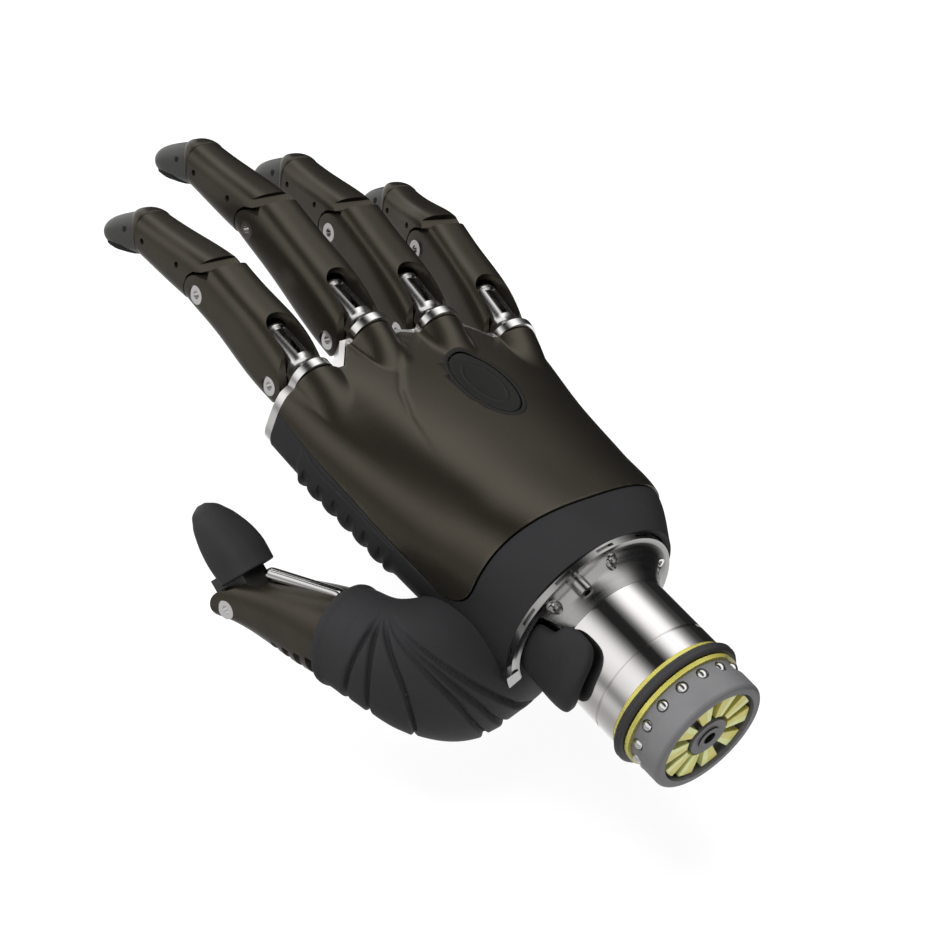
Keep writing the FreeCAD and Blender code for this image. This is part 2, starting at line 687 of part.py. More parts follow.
def tube_boss():
    """The boss that carries a drive tube, flaring into the knuckle wall, in a knuckle's frame."""
    base_r = TUBE_R + FLARE_BASE
    end_r = TUBE_R + FLARE_END
    face = KNUCKLE_WALL - KNUCKLE_BACK
    middle = (end_r + 0.25 * (base_r - end_r), 0.5 * (face + FLARE_Y))
    boss = turned([
        (0, PANEL_GAP - KNUCKLE_BACK), (base_r, PANEL_GAP - KNUCKLE_BACK), (base_r, face), (end_r, FLARE_Y),
        (0, FLARE_Y),
    ], {2: middle})
    boss.translate(Vec(0, 0, TUBE_UP))
    return boss


def make_chassis(button_top):
    """The light alloy frame: knuckle wall with tube bosses and lugs, spine, rear plate, board posts."""
    outline = fused([palm_solid(-PANEL_GAP), *(knuckle_ridge(spec, PANEL_GAP) for spec in FINGERS.values())])
    frame = front_block(KNUCKLE_WALL).cut(front_block(PANEL_GAP)).common(outline)
    root = PANEL_GAP - KNUCKLE_BACK
    for spec in FINGERS.values():
        place = chassis_frame_of(spec)
        lugs = slab(LUG_OUTER_X, root + RUN, 0, -LUG_R, LUG_TOP)
        eye = cross_rod(0, 0, LUG_R, LUG_OUTER_X).cut(slab(FAR, -FAR, FAR, LUG_TOP, FAR))
        for part in (tube_boss(), lugs, eye):
            frame = frame.fuse(placed(part, place))
        bore = rod(Vec(0, -FAR, TUBE_UP), Y_AXIS, TUBE_R, FAR + TUBE_FRONT)
        gap = slab(LUG_INNER_X, root - PAST, LUG_R + PAST, -LUG_R - PAST, TUBE_UP)
        for tool in (bore, gap, cross_rod(0, 0, PIN_R + RUN, LUG_OUTER_X + PAST)):
            frame = frame.cut(placed(tool, place))
    spine = slab(SPINE_HALF_W, WRIST_Y, KNUCKLE_Y, SPINE_Z, SPINE_Z + SPINE_T)
    spine = spine.common(front_block(KNUCKLE_WALL - GAP))
    frame = frame.fuse(spine).fuse(rod(Vec(0, WRIST_Y, 0), Y_AXIS, REAR_PLATE_R, REAR_PLATE_T))
    for x in POST_XS:
        for y in (BOARD_Y + POST_INSET, BOARD_Y + BOARD_L - POST_INSET):
            frame = frame.fuse(rod(Vec(x, y, SPINE_Z), Z_AXIS, POST_R, BOARD_Z - SPINE_Z))
    save("chassis_frame", frame)
    board = slab(BOARD_HALF_W, BOARD_Y, BOARD_Y + BOARD_L, BOARD_Z, BOARD_Z + BOARD_T)
    board.translate(Vec(BOARD_X, 0, 0))
    save("control_board", board)
    half = 0.5 * SWITCH_SIDE
    high = button_top - BUTTON_T - BUTTON_TRAVEL - PANEL_GAP
    switch = slab(half, BUTTON_Y - half, BUTTON_Y + half, BOARD_Z + BOARD_T, high)
    switch.translate(Vec(BUTTON_X, 0, 0))
    save("button_switch", switch)
    behind = front_block(PANEL_GAP)
    motors = [rod(Vec(x, MOTOR_REAR_Y, MOTOR_Z), Y_AXIS, MOTOR_R, FAR).common(behind) for x in MOTOR_XS]
    save("finger_motors", *motors)


def make_tube():
    """A slotted drive tube in a knuckle's frame, with its round end cap behind a narrow gap."""
    tube = rod(Vec(0, -TUBE_REAR, TUBE_UP), Y_AXIS, TUBE_R, TUBE_REAR + TUBE_FRONT)
    front = [e for e in tube.Edges if e.BoundBox.YMin > TUBE_FRONT - RUN]
    tube = tube.makeFillet(TUBE_EDGE, front)
    inner_end = TUBE_FRONT - TUBE_CAP_T
    bore = rod(Vec(0, -TUBE_REAR - PAST, TUBE_UP), Y_AXIS, ROD_R + SLIDE, TUBE_REAR + PAST + inner_end)
    low_slot = slab(LUG_INNER_X, -TUBE_REAR - PAST, inner_end, 0, TUBE_UP)
    top_slot = slab(TUBE_SLOT_HALF_W, -TUBE_SLOT_REAR, inner_end, TUBE_UP, FAR)
    gap = ring_of(TUBE_R - TUBE_CAP_NECK, FAR, inner_end, inner_end + TUBE_CAP_GAP)
    gap.translate(Vec(0, 0, TUBE_UP))
    for cut in (bore, low_slot, top_slot, gap):
        tube = tube.cut(cut)
    return tube


def rod_y(bend):
    """Where a push rod's pin stands along its tube when its knuckle is bent."""
    return TUBE_UP / math.tan(math.radians(CRANK_ANGLE - bend))


def make_push_rod():
    """A push rod in a knuckle's frame: the pin that drives the crank, in a fork that clears the web."""
    pin_y = rod_y(0.0)
    body = rod(Vec(0, pin_y - ROD_BACK, TUBE_UP), Y_AXIS, ROD_R, ROD_BACK + ROD_AHEAD)
    web_back = math.sqrt(WEB_R ** 2 - (TUBE_UP - ROD_R) ** 2) + PANEL_GAP
    fork_back = pin_y - rod_y(KNUCKLE_TRAVEL) - web_back
    slot = slab(WEB_HALF_T + PANEL_GAP, fork_back, FAR, -FAR, FAR)
    pin = cross_rod(pin_y, TUBE_UP, ROD_PIN_R, ROD_R - ROD_PIN_INSET)
    return body.cut(slot).fuse(pin).removeSplitter()


def proximal_sections(spec, wide, low, high):
    """Sections of a proximal segment from its knuckle to past its middle pivot."""
    lp = spec["lp"]
    g = spec["girth"]
    shares = (
        (-6.0, 0.92, 0.90, 0.62),
        (3.0, 1.00, 1.00, 0.92),
        (13.0, 1.02, 1.00, 1.00),
        (0.62 * lp, 0.97, 0.96, 0.95),
        (lp - 3.0, 0.95, 1.00, 0.90),
        (lp + 7.0, 0.92, 0.95, 0.82),
    )
    return [(y, 0, wide * w * g, low * d, high * h, PROX_SQUARE) for y, w, d, h in shares]


def make_proximal(spec):
    lp = spec["lp"]
    cheek = CHEEK_X / spec["girth"]
    outer = loft(proximal_sections(spec, FINGER_HALF_W, PROX_LOW, PROX_HIGH))
    inner = loft(proximal_sections(spec, cheek, PROX_LOW + FINGER_WALL, PROX_HIGH - FINGER_WALL))
    outline = [*PROX_REAR, *((lp + y, z) for y, z in PROX_FRONT)]
    ears = [cross_rod(0, 0, EAR_R), cross_rod(lp, 0, PIP_EAR_R), side_prism(outline, -FAR, FAR)]
    shell = outer.common(fused(ears)).cut(inner)
    shell = shell.cut(slab(CHEEK_X, -FAR, KNUCKLE_BAY_END, -FAR, KNUCKLE_BAY_TOP))
    shell = shell.cut(slab(CHEEK_X, lp - PIP_BAY_L, FAR, -FAR, PIP_BAY_TOP))
    notch = slab(NOTCH_HALF_W, -FAR, NOTCH_STRAIGHT, 0, FAR)
    shell = shell.cut(notch.fuse(rod(Vec(0, NOTCH_STRAIGHT, 0), Z_AXIS, NOTCH_HALF_W, FAR)))
    web = [
        cross_rod(0, 0, WEB_R, WEB_HALF_T),
        slab(WEB_HALF_T, 0, WEB_L, WEB_BOTTOM, WEB_TOP),
        make_crank(spec["rise"]),
    ]
    whole = fused([shell, fused(web)])
    for y in (0, lp):
        whole = whole.cut(pin_space(y, 0, FINGER_HALF_W - PIN_INSET))
    return whole


def make_crank(rise):
    """The slotted crank that the push rod's pin drives, in the proximal segment's frame."""
    half = 0.5 * CRANK_W
    half_slot = 0.5 * CRANK_SLOT_W
    length = math.hypot(TUBE_UP, rod_y(0.0)) + CRANK_END
    arm = slab(WEB_HALF_T, 0, length, -half, half)
    arm = arm.cut(slab(WEB_HALF_T, length - CRANK_SLOT_L, FAR, -half_slot, half_slot))
    arm.rotate(Vec(), X_AXIS, CRANK_ANGLE - rise)
    return arm


def pin_space(y, z, half):
    """The hole of a cross pin and the seats of its heads."""
    space = cross_rod(y, z, PIN_R)
    for side in (-1, 1):
        seat = Vec(side * (half - PIN_HEAD_T), y, z)
        space = space.fuse(rod(seat, X_AXIS * side, PIN_HEAD_R, FAR))
    return space


def cross_pin(y, z, half):
    """A pin across a finger with a socket in each head."""
    pin = cross_rod(y, z, PIN_R, half)
    for side in (-1, 1):
        seat = Vec(side * (half - PIN_HEAD_T), y, z)
        socket = Vec(side * (half - PIN_SOCKET_L), y, z)
        pin = pin.fuse(rod(seat, X_AXIS * side, PIN_HEAD_R, PIN_HEAD_T))
        pin = pin.cut(rod(socket, X_AXIS * side, PIN_SOCKET_R, FAR))
    return pin.removeSplitter()


def middle_sections(spec):
    """Sections of a middle segment from its pivot to past the fingertip's seam."""
    lm = spec["lm"]
    wide = FINGER_HALF_W * spec["girth"]
    return (
        (-2.0, 0, 0.92 * wide, -4.8, 8.8, 3.0),
        (8.0, 0, 0.907 * wide, -5.2, 8.4, 3.0),
        (0.62 * lm, 0, MIDDLE_WAIST * wide, -5.0, 7.4, 2.8),
        (lm, 0, 0.80 * wide, -4.6, 6.6, 2.6),
        (lm + 5.0, 0, 0.787 * wide, -4.4, 6.4, 2.6),
    )


def tip_half_space(spec, ahead):
    """Half of space before or after the seam of a fingertip, in the middle segment's frame."""
    half = slab(FAR, 0 if ahead else -FAR, FAR if ahead else 0, -FAR, FAR)
    half.rotate(Vec(), X_AXIS, -0.5 * TIP_BEND)
    half.translate(Vec(0, spec["lm"], 0))
    return half


def make_middle(spec):
    lm = spec["lm"]
    whole = loft(middle_sections(spec))
    body = whole.common(tip_half_space(spec, False))
    bottom, top = MIDDLE_REAR[0][1], MIDDLE_REAR[-1][1]
    body = body.common(side_prism([*MIDDLE_REAR, (FAR, top), (FAR, bottom)], -FAR, FAR))
    tongue = cross_rod(0, 0, PIP_EAR_R - 2 * RUN, TONGUE_HALF_W)
    neck = slab(TONGUE_HALF_W, 0, NECK_L, NECK_LOW, NECK_HIGH)
    body = fused([body, tongue, neck.common(whole)]).cut(cross_rod(0, 0, PIN_R + RUN))
    depth = MIDDLE_WAIST * FINGER_HALF_W * spec["girth"] - VENT_L
    for share, z in VENTS:
        for side in (-1, 1):
            body = body.cut(rod(Vec(side * depth, share * lm, z), X_AXIS * side, VENT_R, FAR))
    return body


def make_tip(spec):
    """The fingertip and its soft pad, in the middle segment's frame."""
    lt = spec["lt"]
    wide = FINGER_HALF_W * spec["girth"]
    tip = loft((
        (-5.0, 0, 0.80 * wide, -4.5, 6.5, 2.6),
        (0.0, 0, 0.793 * wide, -4.6, 6.4, 2.6),
        (0.42 * lt, 0, 0.76 * wide, -4.4, 5.6, 2.5),
        (0.74 * lt, 0, 0.667 * wide, -3.7, 4.4, 2.3),
        (0.93 * lt, 0, 0.467 * wide, -2.4, 2.9, 2.1),
        (lt, 0, 0.213 * wide, -0.9, 1.3, 2.0),
    ))
    pad_space = loft((
        (2.0, 0, 0.40 * wide, -9.0, -3.0, 2.6),
        (0.35 * lt, 0, 0.587 * wide, -9.0, -2.6, 2.6),
        (0.75 * lt, 0, 0.507 * wide, -9.0, -1.8, 2.6),
        (0.95 * lt, 0, 0.293 * wide, -9.0, -1.0, 2.6),
    ))
    pieces = []
    for shape in (tip.cut(pad_space), tip.common(pad_space)):
        shape.rotate(Vec(), X_AXIS, -TIP_BEND)
        shape.translate(Vec(0, spec["lm"], 0))
        pieces.append(shape.common(tip_half_space(spec, True)))
    return pieces


def make_fingers():
    tubes = []
    for name, spec in FINGERS.items():
        proximal = proximal_frame_of(spec)
        middle = middle_frame_of(spec)
        chassis = chassis_frame_of(spec)
        pins = [cross_pin(y, 0, FINGER_HALF_W - PIN_INSET) for y in (0, spec["lp"])]
        tip, pad = make_tip(spec)
        save(f"{name}_proximal", placed(make_proximal(spec), proximal))
        save(f"{name}_pins", *(placed(pin, proximal) for pin in pins))
        save(f"{name}_middle", placed(make_middle(spec), middle))
        save(f"{name}_fingertip", placed(tip, middle))
        save(f"{name}_tip_pad", placed(pad, middle))
        save(f"{name}_push_rod", placed(make_push_rod(), chassis))
        tubes.append(placed(make_tube(), chassis))
    save("drive_tubes", *tubes)


def thumb_frame():
    """The thumb segment's place: Y along it from the cuff, pitched down and turned outward."""
    turn = Turn(Z_AXIS, THUMB_YAW) * Turn(X_AXIS, -THUMB_PITCH)
    return FreeCAD.Placement(Vec(*CUFF), turn)


def swing_frame():
    """The place of the thumb's bend pivot: Y along the swing axis."""
    pivot = thumb_frame().multVec(Vec(0, -BEND_BACK, -BEND_DROP))
    return FreeCAD.Placement(pivot, Turn(Z_AXIS, THUMB_YAW))


def thumb_sections():
    """Sections of the thumb's shell from the cuff to past its tip's pivot."""
    r = THUMB_CUFF_R
    end = THUMB_END_HALF_W
    return (
        (0.0, 0, r, -r, r, 2.2),
        (10.0, 0, 0.94 * r, -0.94 * r, 0.84 * r, 2.4),
        (0.7 * THUMB_L, 0, 1.06 * end, -8.4, 6.4, 2.6),
        (THUMB_L + 6.0, 0, end, -8.0, 3.4, 2.8),
    )


def thumb_shell(ip):
    """The thumb's shell in its own frame: forked at the tip's pivot, slotted below, with the bend eye."""
    outer = loft(thumb_sections())
    room = slab(FAR, THUMB_SPACE_FROM, THUMB_SPACE_SHARE * THUMB_L, -FAR, FAR)
    inner = loft(thumb_sections(), -THUMB_WALL).common(room)
    outline = [(ip.y + y, ip.z + z) for y, z in THUMB_FRONT]
    outline = [(-PAST, FAR), (-PAST, -FAR), (ip.y, -FAR), *outline, (outline[-1][0], FAR)]
    profile = side_prism(outline, -FAR, FAR).fuse(cross_rod(ip.y, ip.z, THUMB_EAR_R))
    shell = outer.common(profile).cut(inner)
    shell = shell.cut(slab(CHEEK_X, THUMB_FORK_SHARE * THUMB_L, FAR, -FAR, FAR))
    for i in range(THUMB_SLOTS):
        y = THUMB_SLOT_FIRST + THUMB_SLOT_PITCH * i
        shell = shell.cut(block(-FAR, 0, y, y + THUMB_SLOT_W, -FAR, THUMB_SLOT_TOP - THUMB_SLOT_FALL * i))
    low, high = -BEND_DROP - BEND_EYE_R, BEND_EYE_R - BEND_DROP
    arm = slab(BEND_EYE_HALF_W, -BEND_BACK, BEND_ARM_END, low, high)
    arm = arm.fuse(cross_rod(-BEND_BACK, -BEND_DROP, BEND_EYE_R, BEND_EYE_HALF_W))
    return fused([shell, arm]).cut(cross_rod(-BEND_BACK, -BEND_DROP, PIN_R + RUN))


def make_thumb():
    frame = thumb_frame()
    ip = Vec(0, THUMB_L, -IP_DROP)
    rod_from = Vec(0, THUMB_ROD_FROM, THUMB_CUFF_R - THUMB_ROD_DEPTH)
    rod_to = Vec(0, ip.y - THUMB_ROD_BEHIND, ip.z + THUMB_ROD_ABOVE)
    way = rod_to - rod_from
    pin_half = THUMB_END_HALF_W - PIN_INSET
    shell = thumb_shell(ip).cut(rod(rod_from, way, THUMB_ROD_R + GAP, FAR))
    shell = shell.cut(pin_space(ip.y, ip.z, pin_half))
    save("thumb_shell", placed(largest(shell), frame))
    save("thumb_ip_pin", placed(cross_pin(ip.y, ip.z, pin_half), frame))
    start = rod_from + way * THUMB_ROD_SHORT
    bar = rod(start, way, THUMB_ROD_R, (rod_to - start).Length)
    bar = bar.fuse(Part.makeSphere(THUMB_ROD_R, rod_to)).removeSplitter()
    save("thumb_push_rod", placed(bar, frame))
    make_thumb_tip(frame.multiply(FreeCAD.Placement(ip, Turn(X_AXIS, THUMB_TIP_BEND))))
    make_thumb_base()


def make_thumb_tip(frame):
    cap = loft(THUMB_CAP)
    half = CHEEK_X - GAP
    core = slab(half, 0, CORE_L, CORE_LOW, CORE_HIGH)
    core = fused([core, cross_rod(0, 0, THUMB_EAR_R - GAP, half)])
    core = core.cut(cross_rod(0, 0, PIN_R + RUN)).cut(cap)
    save("thumb_tip", placed(cap, frame))
    save("thumb_tip_core", placed(core, frame))


def make_thumb_base():
    """The swinging carrier with its pin, the bearing bracket and the rubber boot."""
    frame = swing_frame()
    rear = SWING_BEARING_FROM + SWING_BEARING_L
    cheek_r = BEND_EYE_R - CLEVIS_INSET
    yoke = slab(CLEVIS_OUTER, PANEL_GAP - SWING_BEARING_FROM, -BEND_EYE_R - PAST, -BEND_EYE_R, BEND_EYE_R)
    shaft = rod(Vec(0, -SWING_SHAFT_L, 0), Y_AXIS, SWING_SHAFT_R, SWING_SHAFT_L - SWING_SHAFT_FRONT)
    pieces = [yoke, shaft]
    for x0, x1 in ((-CLEVIS_OUTER, -CLEVIS_INNER), (CLEVIS_INNER, CLEVIS_OUTER)):
        cheek = block(x0, x1, -BEND_EYE_R - 2 * PAST, 0, -cheek_r, cheek_r)
        pieces.append(cheek.fuse(rod(Vec(x0, 0, 0), X_AXIS, cheek_r, x1 - x0)))
    save("thumb_carrier", placed(fused(pieces).cut(cross_rod(0, 0, PIN_R)), frame))
    save("thumb_bend_pin", placed(cross_rod(0, 0, PIN_R, CLEVIS_OUTER), frame))
    bearing = rod(Vec(0, -rear, 0), Y_AXIS, SWING_BEARING_R, SWING_BEARING_L)
    foot = block(0, BRACKET_FOOT_L, -rear, -SWING_BEARING_FROM, BRACKET_FOOT_LOW, BRACKET_FOOT_HIGH)
    bracket = placed(bearing.fuse(foot), frame).cut(palm_solid(RUN))
    bracket = bracket.cut(placed(rod(Vec(0, -FAR, 0), Y_AXIS, SWING_SHAFT_R + RUN, 2 * FAR), frame))
    at = Part.Vertex(frame.multVec(Vec(0, -rear, -SWING_BEARING_R)))
    save("thumb_bracket", min(bracket.Solids, key=lambda solid: solid.distToShape(at)[0]))
    save("thumb_boot", make_boot())


def ring_points(centre, heading, pitch, half_w, half_h, count=24):
    """A closed ring of points: a superellipse across its heading."""
    turn = Turn(Z_AXIS, heading) * Turn(X_AXIS, pitch)
    points = []
    for x, z in oval_points(half_w, half_h, BOOT_SQUARE, count):
        points.append(Vec(*centre) + turn.multVec(Vec(x, 0, z)))
    return points + points[:1]


def boot_solid(shrink):
    """The boot's bulk: a smooth skin over its rings, closed by two flat ends."""
    grid = []
    for centre, heading, pitch, half_w, half_h in BOOT_RINGS:
        grid.append(ring_points(centre, heading, pitch, half_w - shrink, half_h - shrink))
    surface = Part.BSplineSurface()
    surface.interpolate(grid)
    side = surface.toShape()
    ends = [Part.Face(Part.Wire([e])) for e in side.Edges if e.isClosed()]
    skin = Part.makeCompound([side, *ends])
    skin.sewShape()
    return Part.Solid(skin.Shells[0])


def make_boot():
    hollow = boot_solid(0.0).cut(boot_solid(BOOT_WALL)).cut(palm_solid(RUN))
    return largest(hollow.cut(slab(FAR, -FAR, WRIST_Y + PANEL_GAP, -FAR, FAR)))


def main():
    os.makedirs("parts", exist_ok=True)
    make_coupling()
    make_wrist()
    make_chassis(make_palm())
    make_fingers()
    make_thumb()


main()
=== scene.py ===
"""Looks of a right bionic hand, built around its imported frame.

The tables are in millimetres in the frame of the model: the origin is the centre of the wrist
coupling's end face, +Y runs to the fingers, +Z leaves the back of the hand, +X points to the
little finger. Every surface is turned into metres when its mesh is made.
"""
import math

import bmesh
import bpy
import numpy as np
from mathutils import Matrix, Vector


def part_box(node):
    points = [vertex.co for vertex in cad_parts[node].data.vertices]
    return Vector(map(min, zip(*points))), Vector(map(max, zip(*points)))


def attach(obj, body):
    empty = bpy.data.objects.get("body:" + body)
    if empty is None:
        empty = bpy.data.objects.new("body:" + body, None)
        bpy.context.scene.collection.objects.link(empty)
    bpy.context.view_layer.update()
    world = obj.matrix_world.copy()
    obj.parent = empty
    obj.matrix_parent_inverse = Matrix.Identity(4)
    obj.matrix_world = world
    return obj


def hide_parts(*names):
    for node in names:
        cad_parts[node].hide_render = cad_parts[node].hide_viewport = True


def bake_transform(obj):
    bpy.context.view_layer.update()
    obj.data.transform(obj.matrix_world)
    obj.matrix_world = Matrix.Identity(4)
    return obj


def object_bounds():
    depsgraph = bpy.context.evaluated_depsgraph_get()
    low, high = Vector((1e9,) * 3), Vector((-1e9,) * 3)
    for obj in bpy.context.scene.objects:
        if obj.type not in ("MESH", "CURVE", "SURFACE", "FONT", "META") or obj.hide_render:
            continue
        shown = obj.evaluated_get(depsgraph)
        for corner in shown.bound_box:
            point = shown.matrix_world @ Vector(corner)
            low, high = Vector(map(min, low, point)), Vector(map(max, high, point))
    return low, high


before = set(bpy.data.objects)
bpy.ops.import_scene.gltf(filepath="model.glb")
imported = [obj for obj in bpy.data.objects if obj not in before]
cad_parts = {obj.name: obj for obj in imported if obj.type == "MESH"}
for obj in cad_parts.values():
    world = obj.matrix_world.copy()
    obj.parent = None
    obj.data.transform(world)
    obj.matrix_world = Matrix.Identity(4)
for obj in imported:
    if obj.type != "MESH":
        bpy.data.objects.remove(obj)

CAD_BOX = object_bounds()

bl_info = {
    "name": "Bionic hand looks",
    "version": (1, 0, 0),
    "blender": (4, 5, 0),
    "location": "3D View > Sidebar > Hand",
    "description": "Shells, rubber boot, pads, finishes and stage of a bionic hand",
    "category": "Object",
}

MM = 0.001
ONCE_ROUND = 2 * math.pi

# gaps closed in an own mesh and in a carried-over part, in metres
MERGE_GAP = 1e-6
WELD_GAP = 2e-6
# angles past which an edge of a carried-over part stays sharp and a rim is rounded
SHARP_ANGLE = 28.0
RIM_ANGLE = 55.0

# palm: y, centre x, half width, low, high, power of its oval section
PALM_STATIONS = (
    (45.60, 1.0, 25.0, -24.5, 24.5, 2.3),
    (58.48, 3.5, 30.0, -22.0, 24.0, 2.8),
    (75.04, 2.5, 33.8, -18.5, 22.8, 2.8),
    (95.28, 1.5, 37.0, -14.0, 22.0, 2.8),
    (112.76, 1.5, 40.0, -10.5, 21.2, 3.0),
    (126.56, 2.0, 41.5, -8.0, 20.2, 3.2),
    (139.44, 2.0, 41.8, -7.2, 19.4, 3.2),
)
# where the skin and the cover start, radius of the cover's rear corners, height and slope of the line where
# they part, the gap between them; how far the knuckle line lies behind a knuckle, half its width there
WRIST_Y = 45.6
COVER_REAR = 60.0
CORNER_R = 8.0
PART_Z = -4.6
PART_RISE = 0.23
PANEL_GAP = 0.3
KNUCKLE_BACK = 7.8
KNUCKLE_HALF = 8.0
# how far the knuckle line runs on past the index and the little finger
LINE_ENDS = ((-82.0, -30.0), (78.0, -40.0))
# rows and columns of the cover, the skin and the collar, and the rounding of their rims
COVER_GRID = (170, 260)
SKIN_GRID = (130, 200)
COLLAR_GRID = (40, 70)
COVER_ROUND = 0.25
SKIN_ROUND = 0.3
# the worn rim is one part in these of the cover's length and width
RIM_PARTS = (70, 110)

# knuckle ridges: a cone along each tube that sinks from a share of its length on
TUBE_UP = 5.6
RIDGE_R = 7.0
RIDGE_END_R = 3.2
RIDGE_L = 36.0
RIDGE_DROP = 5.0
RIDGE_SINK = 45.0
RIDGE_SINK_FROM = 0.27
RIDGE_FALL = 3
# rise of a normal from which a ridge lifts the cover, and the range to its full lift
LIFT_FROM = 0.3
LIFT_RANGE = 0.4

# knuckle pivot, splay, rise, segment lengths and girth
FINGERS = {
    "index": dict(at=(-29.5, 132.5, 10.5), splay=2.0, rise=4.0, lp=33.5, lm=29.0, lt=17.5, girth=1.0),
    "middle": dict(at=(-8.0, 138.0, 15.0), splay=3.0, rise=7.0, lp=39.5, lm=29.5, lt=18.0, girth=1.0),
    "ring": dict(at=(13.0, 134.5, 14.5), splay=8.0, rise=4.5, lp=37.0, lm=26.5, lt=17.5, girth=0.97),
    "little": dict(at=(33.5, 126.0, 12.0), splay=12.0, rise=4.0, lp=35.0, lm=21.0, lt=15.0, girth=0.9),
}
REST_BEND = 13.0
TIP_BEND = 24.0
# fingertip: share of its length, half width at full girth, low, high, power
TIP_STATIONS = (
    (0.0, 5.95, -4.6, 6.4, 2.6),
    (0.42, 5.7, -4.4, 5.6, 2.5),
    (0.74, 5.0, -3.7, 4.4, 2.3),
    (0.93, 3.5, -2.4, 2.9, 2.1),
    (1.0, 1.6, -0.9, 1.3, 2.0),
)

# fingertip pad: where it starts, share of the tip where it ends, half width at shares of its length, part of
# the tip's own half width that it may take, height of its ridges, how far its rim tucks in, how proud its
# face and its sides stand, its wall
PAD_FROM = 2.0
PAD_TO = 0.95
PAD_WIDTH = ((0.0, 3.6), (0.33, 5.7), (0.75, 5.1), (1.0, 2.6))
PAD_PART = 0.985
PAD_RIDGE = 0.14
PAD_TUCK = 0.5
PAD_PROUD = 0.22
PAD_SIDE = 0.25
PAD_WALL = 0.8

# round shoulder over each fingertip: end section of its segment (half width, low, high, power), how far back
# and proud it starts, its reach ahead and its drop (below, above), the power that gathers both at the top
MIDDLE_END = (6.0, -4.6, 6.6, 2.6)
SHOULDER_BACK = 0.6
SHOULDER_PROUD = 0.12
SHOULDER_REACH = (0.4, 5.2)
SHOULDER_DROP = (0.25, 0.65)
SHOULDER_GATHER = 1.5
# black lenses at the pin ends on a fingertip's sides, painted shade of the recess there: place along and up,
# radius, how proud
PIN_END_SHADE = (3.6, 2.2, 0.95, 0.12)

# raised line of the cover's middle panel and the soft hollow beside it, as (x, y) paths
PANEL_EDGE = ((3.6, 134.0), (-7.4, 120.3), (-15.0, 110.5), (-19.0, 101.5), (-20.7, 92.0), (-21.2, 86.0))
HOLLOW = ((-27.0, 124.0), (-30.5, 108.0), (-30.5, 94.0), (-28.5, 79.0), (-24.5, 66.0))
HOLLOW_W = 6.5
# shares of the two paths over which the panel's line fades out, its groove starts and fades in, and the
# hollow fades in and out
PANEL_FADE = 0.55
GROOVE_START = 0.1
GROOVE_FADE = 0.3
HOLLOW_IN = 0.25
HOLLOW_OUT = 0.2
# groove at the panel's line: half width and share of the step; shoulder beside it: width of its rise, length
# of its fall and share of the step
GROOVE_W = 0.85
GROOVE_SHARE = 0.55
SHOULDER_W = 1.8
SHOULDER_L = 6.0
SHOULDER_SHARE = 0.9

# grip strip: angle it spans below level, slant and depth of its slots, softness of their sides, place of
# the first slot, angle under the cover's edge, how far it stands up, how far its ends sink, their length and
# its wall
GRIP_SPAN = 0.95
SLOT_SLANT = 2.4
SLOT_DEPTH = 1.1
SLOT_SOFT = 0.45
FIRST_SLOT = 1.6
GRIP_UNDER = 0.03
GRIP_UP = 0.2
GRIP_SUNK = 0.14
GRIP_END = 2.5
GRIP_WALL = 0.5

# boot rings from the cuff to the heel: place, centre, heading, pitch, half width, half height
BOOT_RINGS = (
    (0.0, -43.0, 75.9, -21.0, 10.0, -18.0, 12.3, 12.3),
    (1.0, -40.4, 68.4, -20.0, 26.0, -10.0, 12.8, 13.5),
    (2.0, -32.4, 63.0, -21.6, 54.0, 0.0, 15.1, 17.1),
    (3.0, -17.5, 60.4, -25.2, 80.0, 0.0, 16.2, 20.2),
    (4.0, -3.0, 62.4, -22.0, 90.0, 0.0, 16.8, 19.4),
)
# creases fan out from one corner: their places on the far side, and the corner's place and angle
BOOT_FOLDS = (0.62, 1.25, 2.25, 3.4, 3.85, 4.5)
FOLD_CORNER = 1.0
FOLD_ANGLE = 72.0
CREASE_W = 0.6
LIP_HEIGHT = 0.45
LIP_L = 2.5
BOOT_POWER = 2.2
BOOT_WALL = 1.2
# place of the seam between the boot's two parts
BOOT_SEAM = 0.5
# rise of the dome that closes the heel; bead, inward turn and length of the rolled collar
HEEL_DOME = (12.0, 1.0, 5.0)
ROLL_BEAD = 0.35
ROLL_IN = 1.9
ROLL_L = 2.6

# heel fin: outline as (angle about the wrist axis, y), inner and outer radius, powers that round its rim,
# half sizes of its crown, the crown's height, its limits and how far it lies back
FIN_OUTLINE = (
    (150, 33.5), (152, 29.0), (163, 26.6), (183, 26.0), (200, 26.2), (214, 28.0), (221, 32.0),
    (218, 38.0), (212, 45.2), (173, 45.2), (163, 39.2), (153, 37.0),
)
FIN_R = 18.2
FIN_OUT_R = 22.0
FIN_ROUND = (0.28, 0.55)
FIN_CROWN_HALF = (32.0, 10.0)
FIN_CROWN = 0.9
FIN_CROWN_LIMITS = (-0.4, 0.5)
FIN_BACK = 0.5

# thumb: cuff, frame angles, pivot of the tip and its oval sections (y, half width, low, high, power)
CUFF = (-43.0, 75.9, -21.0)
THUMB_YAW = 10.0
THUMB_PITCH = 18.0
THUMB_L = 34.0
IP_DROP = 3.0
THUMB_TIP_BEND = 47.0
THUMB_CAP = (
    (5.6, 6.8, -1.2, 13.0, 2.4),
    (11.5, 7.2, -1.6, 12.6, 2.4),
    (17.5, 6.4, -1.4, 10.6, 2.3),
    (22.0, 4.9, -0.4, 7.8, 2.2),
    (24.6, 3.0, 1.0, 5.4, 2.1),
    (25.5, 1.3, 2.2, 4.0, 2.0),
)
# rolled base of the cap: share that it draws in, depth of its inside, depth of its bead
CAP_IN = 0.16
CAP_DEPTH = 3.0
CAP_BEAD = 0.3

